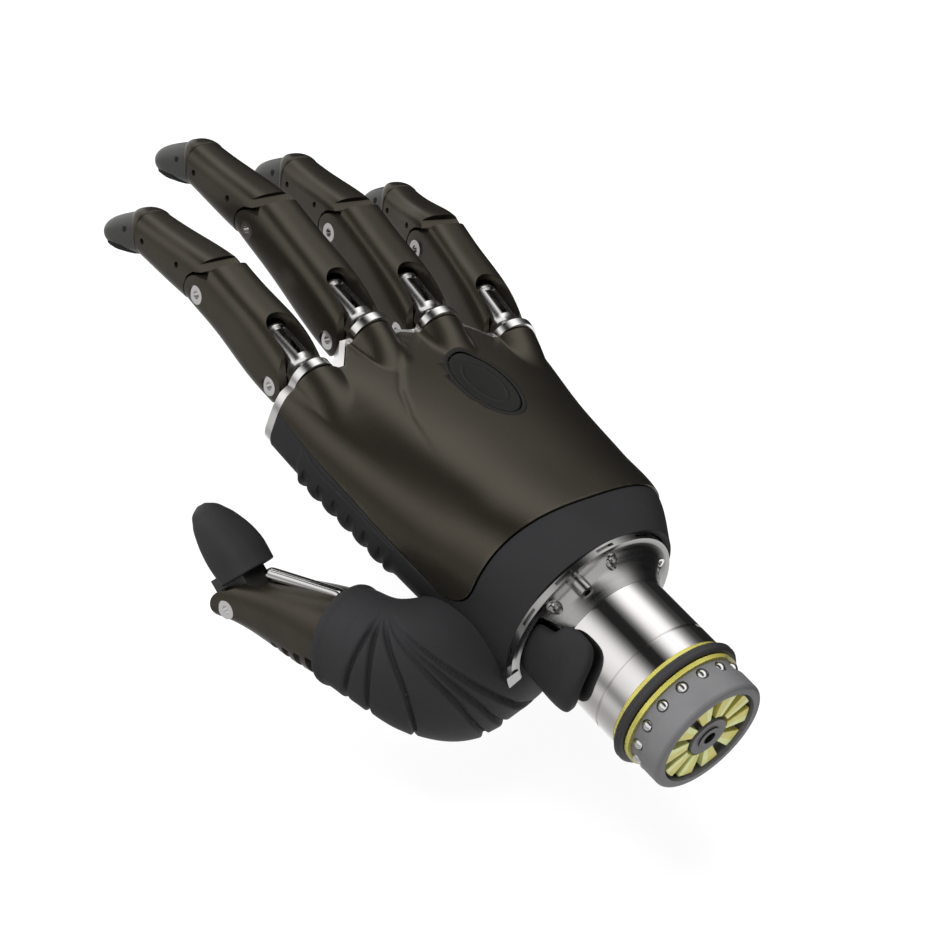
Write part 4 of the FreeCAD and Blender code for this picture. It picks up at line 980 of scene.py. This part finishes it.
class HAND_OT_palm_skin(bpy.types.Operator):
    """Make the palm's rubber skin: a closed collar at the wrist and the shell below the cover"""
    bl_idname = "hand.palm_skin"
    bl_label = "Palm skin"

    def execute(self, context):
        start = COVER_REAR - PANEL_GAP
        across = shares(SKIN_GRID[1])[:, 0]
        y = start + (front_of(across, 0.0, PANEL_GAP, True) - start) * shares(SKIN_GRID[0])
        shell = palm_point(y, side_angle(y, across[None, :], 0.0, PANEL_GAP, True), 0.0)
        first = side_angle(np.full(len(across), start), across, 0.0, PANEL_GAP, True)
        over = np.linspace(first[-1], first[0] - ONCE_ROUND, COLLAR_GRID[1])[1:]
        around = np.concatenate((first, over))
        rows = WRIST_Y + (start - WRIST_Y) * shares(COLLAR_GRID[0])
        collar = palm_point(rows, np.broadcast_to(around, (len(rows), len(around))), 0.0)
        skin = piece_from("palm_skin", [shell, collar], outward=False)
        face_up(skin, (0.0, 0.0, -1.0))
        wall(skin, context.scene.hand_sizes.skin_wall, SKIN_ROUND * MM)
        paint_on(skin, "grip_rubber")
        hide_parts("palm_shell")
        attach(skin, "palm")
        return {"FINISHED"}


class HAND_OT_grip(bpy.types.Operator):
    """Make the grip strip on the thumb side: soft pads that swell outwards between slanted slots"""
    bl_idname = "hand.grip"
    bl_label = "Grip strip"

    pitch: length("Pitch", "Distance between slots", 5.2)
    slots: bpy.props.IntProperty(name="Slots", description="Number of slots", default=6, min=1)
    slot_width: length("Slot width", "Width of a slot", 1.5)

    def execute(self, context):
        height = context.scene.hand_sizes.rib_height / MM
        pitch, width = self.pitch / MM, self.slot_width / MM
        low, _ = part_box("grip_ribs")
        first = low.y / MM + FIRST_SLOT
        across = shares(90).T
        y = np.linspace(first - pitch, first + pitch * (self.slots - 0.2), 420)[:, None]
        top = edge_angle(y, 0.0, PANEL_GAP)
        angle = math.pi - top + GRIP_UNDER + (GRIP_SPAN + top) * across
        place = (y - first - SLOT_SLANT * (across - 0.5)) / pitch
        share = place - np.floor(place)
        off = np.minimum(share, 1 - share) * pitch
        inside = smooth_step((place + 0.6) / 0.3) * smooth_step((self.slots - 0.4 - place) / 0.3)
        slot = 1 - smooth_step((off - 0.5 * width) / SLOT_SOFT)
        slot = slot * smooth_step((across - 0.12) / 0.06) * smooth_step((0.8 - across) / 0.1) * inside
        swell = np.sin(math.pi * share ** 0.8) ** 0.7 * smooth_step((across - 0.1) / 0.4) * inside
        ends = smooth_step((y - y[0]) / GRIP_END) * smooth_step((y[-1] - y) / GRIP_END)
        ends = ends * smooth_step((1 - across) / 0.12)
        relief = (GRIP_UP + height * swell - SLOT_DEPTH * slot) * ends - GRIP_SUNK * (1 - ends)
        strip = piece_from("grip_strip", [raised(palm_point(y, angle, 0.0), relief)], outward=False)
        face_up(strip, (-1.0, 0.0, 0.0))
        wall(strip, GRIP_WALL * MM)
        paint_on(strip, "grip_rubber")
        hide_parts("grip_ribs")
        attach(strip, "palm")
        return {"FINISHED"}


def boot_ring(place, angle, swell):
    """Points of the boot: an oval across a heading that turns from thumb to heel, swollen by its folds."""
    x0, y0, z0, heading, pitch, half_w, half_h = columns_of(BOOT_RINGS, place)
    across, tall = oval(angle, half_w + swell, half_h + swell, BOOT_POWER)
    h, p = np.radians(heading), np.radians(pitch)
    lean = -np.sin(p) * tall
    x = x0 + np.cos(h) * across - np.sin(h) * lean
    y = y0 + np.sin(h) * across + np.cos(h) * lean
    return np.stack((x, y, z0 + np.cos(p) * tall), axis=-1)


def boot_swell(place, angle, depth):
    """Relief of the folds: creases that fan out from one corner, each under the lip of the band before it.

    A crease's place goes from the corner's to its own as the angle goes half round; the distance to it is
    its error in place over the slope of that error along the surface.
    """
    plain = boot_ring(place, angle, 0.0)
    step_p = np.linalg.norm(np.gradient(plain, place[:, 0], axis=0), axis=-1)
    step_a = np.linalg.norm(np.gradient(plain, angle[0], axis=1), axis=-1)
    turn = angle - math.radians(FOLD_ANGLE)
    far = 0.5 - 0.5 * np.cos(turn)
    crease = np.zeros(plain.shape[:2])
    lip = np.zeros(plain.shape[:2])
    for end in BOOT_FOLDS:
        error = place - FOLD_CORNER - (end - FOLD_CORNER) * far
        slope = np.hypot(1 / step_p, 0.5 * (end - FOLD_CORNER) * np.sin(turn) / step_a)
        off = error / slope
        crease = np.maximum(crease, np.exp(-(off / CREASE_W) ** 2))
        lip = np.maximum(lip, np.where(off < 0, np.exp(off / LIP_L), 0.0))
    return (LIP_HEIGHT * lip - depth * crease) * smooth_step(far / 0.25)


class HAND_OT_boot(bpy.types.Operator):
    """Make the folded rubber boot of the thumb in two blended parts, with a collar over the thumb"""
    bl_idname = "hand.boot"
    bl_label = "Thumb boot"

    def execute(self, context):
        depth = context.scene.hand_sizes.fold_depth / MM
        angle = round_angles(180)
        place = np.linspace(BOOT_SEAM, BOOT_RINGS[-1][0], 260)[:, None]
        heel = boot_ring(place, angle, boot_swell(place, angle, depth))
        heel_piece = self.part("boot_heel", np.concatenate((heel, heel_close(heel[-1]))))
        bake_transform(heel_piece)
        place = np.linspace(0.0, BOOT_SEAM, 60)[:, None]
        cuff = boot_ring(place, angle, boot_swell(place, angle, depth))
        cuff_piece = self.part("boot_cuff", np.concatenate((cuff_roll(cuff[0]), cuff)))
        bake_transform(cuff_piece)
        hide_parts("thumb_boot")
        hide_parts("thumb_boot")
        return {"FINISHED"}

    def part(self, name, grid):
        """One part of the boot with its faces turned away from its middle."""
        piece = piece_from(name, [grid], ring=True, outward=False)
        away = face_values(piece, "center") - grid[grid.shape[0] // 2].mean(axis=0) * MM
        if (away * face_values(piece, "normal")).sum() < 0:
            piece.data.flip_normals()
        wall(piece, BOOT_WALL * MM)
        paint_on(piece, "boot_rubber")
        return piece


def ring_plane(place):
    """Centre and heading of the boot's ring at a place."""
    x, y, z, heading, pitch, _, _ = along(BOOT_RINGS, place)
    normal = turn_z(heading) @ turn_x(pitch) @ (0.0, 1.0, 0.0)
    return np.array((x, y, z)), normal


def heel_close(ring):
    """Rows that draw the boot's last ring together into a dome towards the little finger's side."""
    t = shares(24)[1:, None]
    centre = ring.mean(axis=0)
    spread = np.sqrt(np.clip(1 - t ** 2, 0.0, 1.0))
    return centre + (ring - centre) * np.maximum(spread, 0.02) + np.array(HEEL_DOME) * t


def cuff_roll(ring):
    """Rows of a smooth rolled collar ahead of the cuff ring: out over a bead and in to the thumb."""
    t = np.linspace(1.0, 0.0, 26)[:-1, None, None]
    centre, normal = ring_plane(0.0)
    bead = ROLL_BEAD * np.sin(math.pi * np.clip(t * 1.15, 0.0, 1.0))
    inward = ROLL_IN * smooth_step((t - 0.72) / 0.28)
    spoke = ring - centre
    reach = np.linalg.norm(spoke, axis=-1, keepdims=True)
    return centre + spoke * (1 + (bead - inward) / reach) + normal * (ROLL_L * np.minimum(t / 0.8, 1.0))


class HAND_OT_fin(bpy.types.Operator):
    """Make the rubber fin at the heel: a rounded plate wrapped about the wrist barrel"""
    bl_idname = "hand.fin"
    bl_label = "Heel fin"

    def execute(self, context):
        outline = closed_curve(FIN_OUTLINE, 160)
        middle = outline.mean(axis=0)
        around = shares(40)[1:-1] * math.pi
        spread = np.sin(around) ** FIN_ROUND[0]
        depth = 0.5 - 0.5 * signed_power(np.cos(around), FIN_ROUND[1])
        flat = middle + (outline[None] - middle) * spread[..., None]
        angle = np.radians(flat[..., 0])
        off = (flat - middle) / FIN_CROWN_HALF
        crown = FIN_CROWN * (1 - np.hypot(off[..., 0], off[..., 1])) * (1 - depth)
        radius = FIN_OUT_R + (FIN_R - FIN_OUT_R) * depth
        radius = radius + np.clip(crown, *FIN_CROWN_LIMITS) - FIN_BACK
        grid = points_of(radius * np.cos(angle), flat[..., 1], radius * np.sin(angle))
        fin = piece_from("heel_fin", [grid], ring=True, poles=True)
        paint_on(fin, "grip_rubber")
        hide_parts("heel_bumper")
        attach(fin, "palm")
        return {"FINISHED"}


def tip_section(spec, y):
    """Half width, low, high and power of a fingertip's section at y."""
    return columns_of(np.array(TIP_STATIONS) * (spec["lt"], spec["girth"], 1, 1, 1), y)


class HAND_OT_pads(bpy.types.Operator):
    """Make the four ridged pads under the fingertips"""
    bl_idname = "hand.pads"
    bl_label = "Fingertip pads"

    ridge_pitch: length("Ridge pitch", "Distance between the pad's ridges", 1.1)

    def execute(self, context):
        for name, spec in FINGERS.items():
            turn, origin = tip_frame(spec)
            grid = pad_grid(spec, self.ridge_pitch / MM)
            pad = piece_from(f"{name}_pad", [origin + grid @ turn.T], outward=False)
            face_up(pad, tuple(turn @ (0, 0, -1)))
            wall(pad, PAD_WALL * MM)
            paint_on(pad, "pad_black")
            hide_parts(f"{name}_tip_pad")
            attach(pad, f"{name}_end")
        return {"FINISHED"}


def pad_grid(spec, pitch):
    """The lower side of a fingertip's sections, a little proud, with slanted sine ridges and a tucked rim."""
    share, side = shares(120), np.linspace(-1.0, 1.0, 50)[None, :]
    y = PAD_FROM + (PAD_TO * spec["lt"] - PAD_FROM) * share
    half, low, high, power = tip_section(spec, y)
    width = along(PAD_WIDTH, share)[..., 0] * spec["girth"]
    x = np.minimum(width, half * PAD_PART) * side
    drop = (1 - np.clip(np.abs(x) / half, 0, 1) ** power) ** (1 / power)
    rim = np.maximum(np.abs(side), np.abs(2 * share - 1))
    ridge = PAD_RIDGE * np.sin(ONCE_ROUND * (y + 0.35 * np.abs(x)) / pitch)
    ridge = ridge * (1 - smooth_step((rim - 0.7) / 0.2))
    tuck = PAD_TUCK * smooth_step((rim - 0.86) / 0.14)
    z = 0.5 * (low + high) - 0.5 * (high - low) * drop - PAD_PROUD + ridge + tuck
    return points_of(x * (1 + (PAD_SIDE - tuck) / half), y, z)


class HAND_OT_shoulders(bpy.types.Operator):
    """Make the round shoulders over the fingertips and black lenses beside them at the pin ends, painted
    shade of the recess there
    """
    bl_idname = "hand.shoulders"
    bl_label = "Finger shoulders"

    def execute(self, context):
        for name, spec in FINGERS.items():
            turn, origin = middle_frame(spec)
            grid = origin + shoulder_grid(spec) @ turn.T
            shoulder = piece_from(f"{name}_shoulder", [grid], ring=True, poles=True)
            paint_on(shoulder, "finger_paint")
            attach(shoulder, f"{name}_end")
            turn, origin = tip_frame(spec)
            grids = [origin + pin_end_shade(spec, side) @ turn.T for side in (-1, 1)]
            ends = piece_from(f"{name}_pin_ends", grids, ring=True, poles=True)
            # black stands in for the shade of the recess at the pin's end
            paint_on(ends, "pad_black")
            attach(ends, f"{name}_end")
        return {"FINISHED"}


def shoulder_grid(spec):
    """A quarter oval swept round the segment's end section, reaching furthest and falling most at the top."""
    turn = np.linspace(0.0, 0.5 * math.pi, 30)[:, None]
    angle = round_angles(120)
    upper = (0.5 + 0.5 * np.sin(angle)) ** SHOULDER_GATHER
    reach = SHOULDER_REACH[0] + (SHOULDER_REACH[1] - SHOULDER_REACH[0]) * upper
    size = 1 - (SHOULDER_DROP[0] + (SHOULDER_DROP[1] - SHOULDER_DROP[0]) * upper) * (1 - np.cos(turn))
    half_w, low, high, power = MIDDLE_END
    x, z = oval(angle, half_w * spec["girth"] + SHOULDER_PROUD, 0.5 * (high - low) + SHOULDER_PROUD, power)
    middle = 0.5 * (low + high)
    seam = spec["lm"] + (middle + z) * math.tan(math.radians(0.5 * TIP_BEND))
    y = seam - SHOULDER_BACK + (SHOULDER_BACK + reach) * np.sin(turn)
    return points_of(x * size, y, middle + z * size)


def pin_end_shade(spec, side):
    """A flat lens on one side of a fingertip, black as painted shade of the recess at the pin's end."""
    y, z, radius, proud = PIN_END_SHADE
    half, low, high, power = tip_section(spec, np.array(y))
    level = abs(2 * z - low - high) / (high - low)
    t = np.linspace(0.1, math.pi - 0.1, 14)[:, None]
    angle = round_angles(32)
    out = half * (1 - level ** power) ** (1 / power) + proud * np.cos(t)
    return points_of(
        side * out, y + radius * np.sin(t) * np.cos(angle), z + radius * np.sin(t) * np.sin(angle))


class HAND_OT_thumb_bar(bpy.types.Operator):
    """Make the bright bar that pushes the thumb's tip: a round-ended bar on top of the thumb"""
    bl_idname = "hand.thumb_bar"
    bl_label = "Thumb bar"

    def execute(self, context):
        t = np.linspace(-1.0, 1.0, 90)[1:-1, None]
        size = (1 - np.abs(t) ** BAR_END) ** 0.5
        x, z = oval(round_angles(48), *BAR_HALF, BAR_POWER)
        start, end = np.array(BAR_FROM), np.array(BAR_TO)
        line = start + (end - start) * (0.5 + 0.5 * t[..., None])
        grid = line + points_of(x * size, 0.0, z * size)
        bar = piece_from("thumb_bar", [np.array(CUFF) + grid @ thumb_base().T], ring=True, poles=True)
        paint_on(bar, "bright_steel")
        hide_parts("thumb_push_rod")
        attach(bar, "thumb_rod")
        return {"FINISHED"}


class HAND_OT_thumb_cap(bpy.types.Operator):
    """Make the thumb's rubber cap: a closed loft with a flatter outer side and a rolled base"""
    bl_idname = "hand.thumb_cap"
    bl_label = "Thumb cap"

    def execute(self, context):
        first, last = THUMB_CAP[0][0], THUMB_CAP[-1][0]
        y = first + (last - first) * (1 - (1 - shares(110)) ** 1.5)
        half, low, high, power = columns_of(THUMB_CAP, y)
        x, z = oval(round_angles(120), half, 0.5 * (high - low), power)
        grid = points_of(x, y, 0.5 * (low + high) + z)
        base = grid[:1].mean(axis=1, keepdims=True)
        roll = np.linspace(1.0, 0.0, 10)[:-1, None, None]
        inner = base + (grid[:1] - base) * (1 - CAP_IN * roll)
        depth, bead = CAP_DEPTH * np.clip(roll - 0.45, 0.0, 1.0), CAP_BEAD * np.sin(roll * math.pi)
        inner = inner + (depth - bead) * np.array((0.0, 1.0, 0.0))
        turn, origin = thumb_tip_frame()
        whole = np.concatenate((inner, grid))
        cap = piece_from("thumb_cap", [origin + whole @ turn.T], ring=True, poles=True)
        paint_on(cap, "thumb_cap_rubber")
        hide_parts("thumb_tip")
        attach(cap, "thumb_end")
        return {"FINISHED"}


class HAND_OT_button(bpy.types.Operator):
    """Make the oval program button, a soft dish with a plain raised oval line, and the gasket round it"""
    bl_idname = "hand.button"
    bl_label = "Program button"

    def execute(self, context):
        angle = round_angles(140)
        rounding = 0.96 + 0.04 * np.sin(np.linspace(0.2, 1.57, 8))
        reach = np.concatenate((np.linspace(0.03, 0.96, 60), rounding))[:, None]
        x = BUTTON_AT[0] + BUTTON_HALF[0] * reach * np.cos(angle)
        y = BUTTON_AT[1] + BUTTON_HALF[1] * reach * np.sin(angle)
        place, width, height = BUTTON_LINE
        ring = height * np.exp(-((reach - place) / width) ** 2)
        fall = BUTTON_RIM[1] * np.clip((reach - BUTTON_RIM[0]) / (1 - BUTTON_RIM[0]), 0.0, 1.0) ** 3
        z = cover_height(x, y) + BUTTON_PROUD - BUTTON_DISH * (1 - reach ** 2) + ring - fall
        face = points_of(x, y, z)
        skirt = face[-1:] - np.array((0.0, 0.0, 1.0)) * np.linspace(*BUTTON_SKIRT, 6)[:, None, None]
        button = piece_from("oval_button", [np.concatenate((face, skirt))], ring=True, poles=True)
        paint_on(button, "button_black")
        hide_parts("program_button")
        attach(button, "button")
        gasket = piece_from("button_gasket", [self.gasket(angle)], ring=True)
        paint_on(gasket, "button_black")
        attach(gasket, "palm")
        return {"FINISHED"}

    def gasket(self, angle):
        """A flat bead carried round the button's oval on the cover's face; its last row meets its first."""
        turn = np.linspace(0.0, ONCE_ROUND, 17)[:, None]
        off = PANEL_GAP + GASKET[0] + GASKET[1] * np.cos(turn)
        x = BUTTON_AT[0] + (BUTTON_HALF[0] + off) * np.cos(angle)
        y = BUTTON_AT[1] + (BUTTON_HALF[1] + off) * np.sin(angle)
        return points_of(x, y, cover_height(x, y) + GASKET[2] * np.sin(turn))


class HAND_OT_seal(bpy.types.Operator):
    """Make the wrist's lip seal: its profile carried round the wrist axis"""
    bl_idname = "hand.seal"
    bl_label = "Wrist seal"

    def execute(self, context):
        radius, y = np.array(SEAL_LIP).T[:, None, :]
        angle = round_angles(180).T
        grid = points_of(radius * np.cos(angle), y, radius * np.sin(angle))
        grid = np.concatenate((grid, grid[:1]))
        seal = piece_from("lip_seal", [np.concatenate((grid, grid[:, :1]), axis=1)])
        paint_on(seal, "seal_rubber")
        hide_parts("wrist_seal")
        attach(seal, "palm")
        return {"FINISHED"}


# camera of the photographed view and the studio, in millimetres and degrees
VIEW_AZIMUTH = -53.5
VIEW_ELEVATION = 37.0
VIEW_ROLL = 21.8
VIEW_TARGET = (0.0, 100.0, 0.0)
VIEW_DISTANCE = 800.0
VIEW_LENS = 124.56
VIEW_SHIFT = (0.0189, 0.0037)
# floor: how far under the hand, half size, tone, share of its white that doesn't take shadow
FLOOR_DROP = 30.0
FLOOR_HALF = 3000.0
FLOOR_TONE = 0.9
FLOOR_GLOW = 0.86
CALM_LIGHT = 0.45
WHITE = (1, 1, 1, 1)
# lamps: name, place, width, height, power
LAMPS = (
    ("key_lamp", (-420.0, 60.0, 680.0), 420.0, 420.0, 14.0),
    ("front_lamp", (-260.0, 620.0, 380.0), 360.0, 260.0, 4.0),
    ("side_lamp", (560.0, 20.0, 420.0), 300.0, 420.0, 2.0),
)
# tent of glowing strips along the hand, seen only in reflections, which paints the reflections on the hand:
# angle about the long axis (0 is the little finger's side, 90 is up), strength of its glow
TENT = (
    (-62.0, 1.0), (-34.0, 0.9), (-22.0, 0.05), (18.0, 0.04), (32.0, 0.12), (45.0, 0.5), (57.0, 1.2),
    (80.0, 1.2), (97.0, 0.22), (126.0, 0.14), (146.0, 0.95), (178.0, 0.85), (200.0, 0.3), (214.0, 0.6),
    (240.0, 0.42), (270.0, 0.6), (298.0, 1.0),
)
TENT_R = 420.0
TENT_Y = (-500.0, 900.0)
TENT_DARKEST = 0.02


def aim(location, target):
    """A matrix at a location whose -Z looks at a target."""
    back = (Vector(location) - Vector(target)).normalized()
    turn = back.to_track_quat("Z", "Y").to_matrix().to_4x4()
    return Matrix.Translation(Vector(location)) @ turn


class HAND_OT_stage(bpy.types.Operator):
    """Set the pale floor, the soft lamps, the white surround and the camera"""
    bl_idname = "hand.stage"
    bl_label = "Stage"

    def execute(self, context):
        scene = context.scene
        scene.view_settings.view_transform = "Standard"
        self.surround(scene)
        self.floor()
        for name, place, width, height, power in LAMPS:
            lamp = bpy.data.lights.new(name, "AREA")
            lamp.shape = "RECTANGLE"
            lamp.size, lamp.size_y = width * MM, height * MM
            lamp.energy = power
            holder = bpy.data.objects.new(name, lamp)
            scene.collection.objects.link(holder)
            holder.matrix_world = aim(np.array(place) * MM, np.array(VIEW_TARGET) * MM)
            # lamps are left out of reflections; the tent's glowing strips paint them instead
            holder.visible_glossy = False
        self.tent()
        self.camera(scene)
        return {"FINISHED"}

    def surround(self, scene):
        """White for what is seen or mirrored, a calmer level for diffuse light."""
        world = bpy.data.worlds.new("studio")
        scene.world = world
        world.use_nodes = True
        tree = world.node_tree
        tree.nodes.clear()
        seen = add(tree, "ShaderNodeBackground", {"Color": WHITE})
        calm = add(tree, "ShaderNodeBackground", {"Color": WHITE, "Strength": CALM_LIGHT})
        mix = add(tree, "ShaderNodeMixShader", {
            "Fac": seen_rays(tree), 1: calm.outputs["Background"], 2: seen.outputs["Background"]})
        add(tree, "ShaderNodeOutputWorld", {"Surface": mix.outputs["Shader"]})

    def tent(self):
        """Glowing strips of dark and pale tone on a pipe about the hand, which only gloss sees: painted
        reflections on the hand.
        """
        angle = np.linspace(TENT[0][0], TENT[-1][0], 280)[:, None]
        y = np.linspace(*TENT_Y, 12)[None, :]
        a = np.radians(angle)
        grid = points_of(TENT_R * np.cos(a), y, TENT_R * np.sin(a))
        tone = np.broadcast_to(along(TENT, angle)[..., 0], grid.shape[:2])
        # the strips' glow, kept in the edge attribute, paints the bright and dark bands of the reflections
        tent = piece_from("light_tent", [grid], outward=False, edge=[np.clip(tone, TENT_DARKEST, None)])
        material, tree, shader, _ = blank_material("tent_cloth")
        strips = add(tree, "ShaderNodeAttribute", attribute_name="edge")
        fill(tree, shader, {
            "Base Color": (0, 0, 0, 1), "Specular IOR Level": 0.0, "Emission Strength": 1.0,
            "Emission Color": strips.outputs["Color"]})
        tent.data.materials.append(material)
        for ray in ("camera", "diffuse", "transmission", "volume_scatter", "shadow"):
            setattr(tent, f"visible_{ray}", False)

    def floor(self):
        """A wide floor that is nearly white to the camera and keeps a faint shadow."""
        low = CAD_BOX[0].z / MM - FLOOR_DROP
        side = np.linspace(-FLOOR_HALF, FLOOR_HALF, 9)
        floor = piece_from("floor", [points_of(side[:, None], side[None, :], low)], outward=False)
        face_up(floor, (0.0, 0.0, 1.0))
        material, tree, shader, _ = blank_material("floor_white")
        fill(tree, shader, {"Base Color": (FLOOR_TONE, FLOOR_TONE, FLOOR_TONE, 1), "Roughness": 0.9})
        mix = add(tree, "ShaderNodeMixShader", {
            "Fac": math_of(tree, "MULTIPLY", seen_rays(tree), FLOOR_GLOW),
            1: shader.outputs["BSDF"], 2: add(tree, "ShaderNodeEmission").outputs["Emission"]})
        out = next(n for n in tree.nodes if n.type == "OUTPUT_MATERIAL")
        fill(tree, out, {"Surface": mix.outputs["Shader"]})
        floor.data.materials.append(material)
        floor.visible_glossy = False

    def camera(self, scene):
        """The photographed view: turned, raised and rolled about its target."""
        a, e, r = map(math.radians, (VIEW_AZIMUTH, VIEW_ELEVATION, VIEW_ROLL))
        back = np.array((math.sin(a) * math.cos(e), -math.cos(a) * math.cos(e), math.sin(e)))
        level = np.array((math.cos(a), math.sin(a), 0.0))
        rise = np.cross(back, level)
        right = math.cos(r) * level + math.sin(r) * rise
        up = math.cos(r) * rise - math.sin(r) * level
        lens = bpy.data.cameras.new("view")
        lens.lens = VIEW_LENS
        lens.shift_x, lens.shift_y = VIEW_SHIFT
        camera = bpy.data.objects.new("view", lens)
        scene.collection.objects.link(camera)
        place = Matrix(np.stack((right, up, back), axis=1).tolist()).to_4x4()
        place.translation = Vector((np.array(VIEW_TARGET) + back * VIEW_DISTANCE) * MM)
        camera.matrix_world = place
        scene.camera = camera


def seen_rays(tree):
    """One for rays from the camera, mirrors and glass, nought for diffuse light."""
    rays = add(tree, "ShaderNodeLightPath").outputs
    mirrored = math_of(tree, "MAXIMUM", rays["Is Camera Ray"], rays["Is Glossy Ray"])
    return math_of(tree, "MAXIMUM", mirrored, rays["Is Transmission Ray"])


OPERATORS = (
    HAND_OT_finishes, HAND_OT_cover, HAND_OT_palm_skin, HAND_OT_grip, HAND_OT_boot, HAND_OT_fin,
    HAND_OT_pads, HAND_OT_shoulders, HAND_OT_thumb_bar, HAND_OT_thumb_cap, HAND_OT_button, HAND_OT_seal,
    HAND_OT_stage,
)


class HAND_PT_panel(bpy.types.Panel):
    """Lists the hand's pieces in the sidebar"""
    bl_idname = "HAND_PT_panel"
    bl_label = "Bionic hand"
    bl_space_type = "VIEW_3D"
    bl_region_type = "UI"
    bl_category = "Hand"

    def draw(self, context):
        for operator in OPERATORS:
            self.layout.operator(operator.bl_idname)
        for group in (context.scene.hand_sizes, context.scene.hand_colours):
            for name in group.__annotations__:
                self.layout.prop(group, name)


CLASSES = (HandSizes, HandColours, *OPERATORS, HAND_PT_panel)


def register():
    """Adds the classes and the scene's sizes and colours."""
    for kind in CLASSES:
        bpy.utils.register_class(kind)
    bpy.types.Scene.hand_sizes = bpy.props.PointerProperty(type=HandSizes)
    bpy.types.Scene.hand_colours = bpy.props.PointerProperty(type=HandColours)


def unregister():
    """Takes away what register adds."""
    del bpy.types.Scene.hand_colours
    del bpy.types.Scene.hand_sizes
    for kind in reversed(CLASSES):
        bpy.utils.unregister_class(kind)


def main():
    """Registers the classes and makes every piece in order."""
    register()
    for operator in OPERATORS:
        group, name = operator.bl_idname.split(".")
        getattr(getattr(bpy.ops, group), name)()


if __name__ == "__main__":
    main()
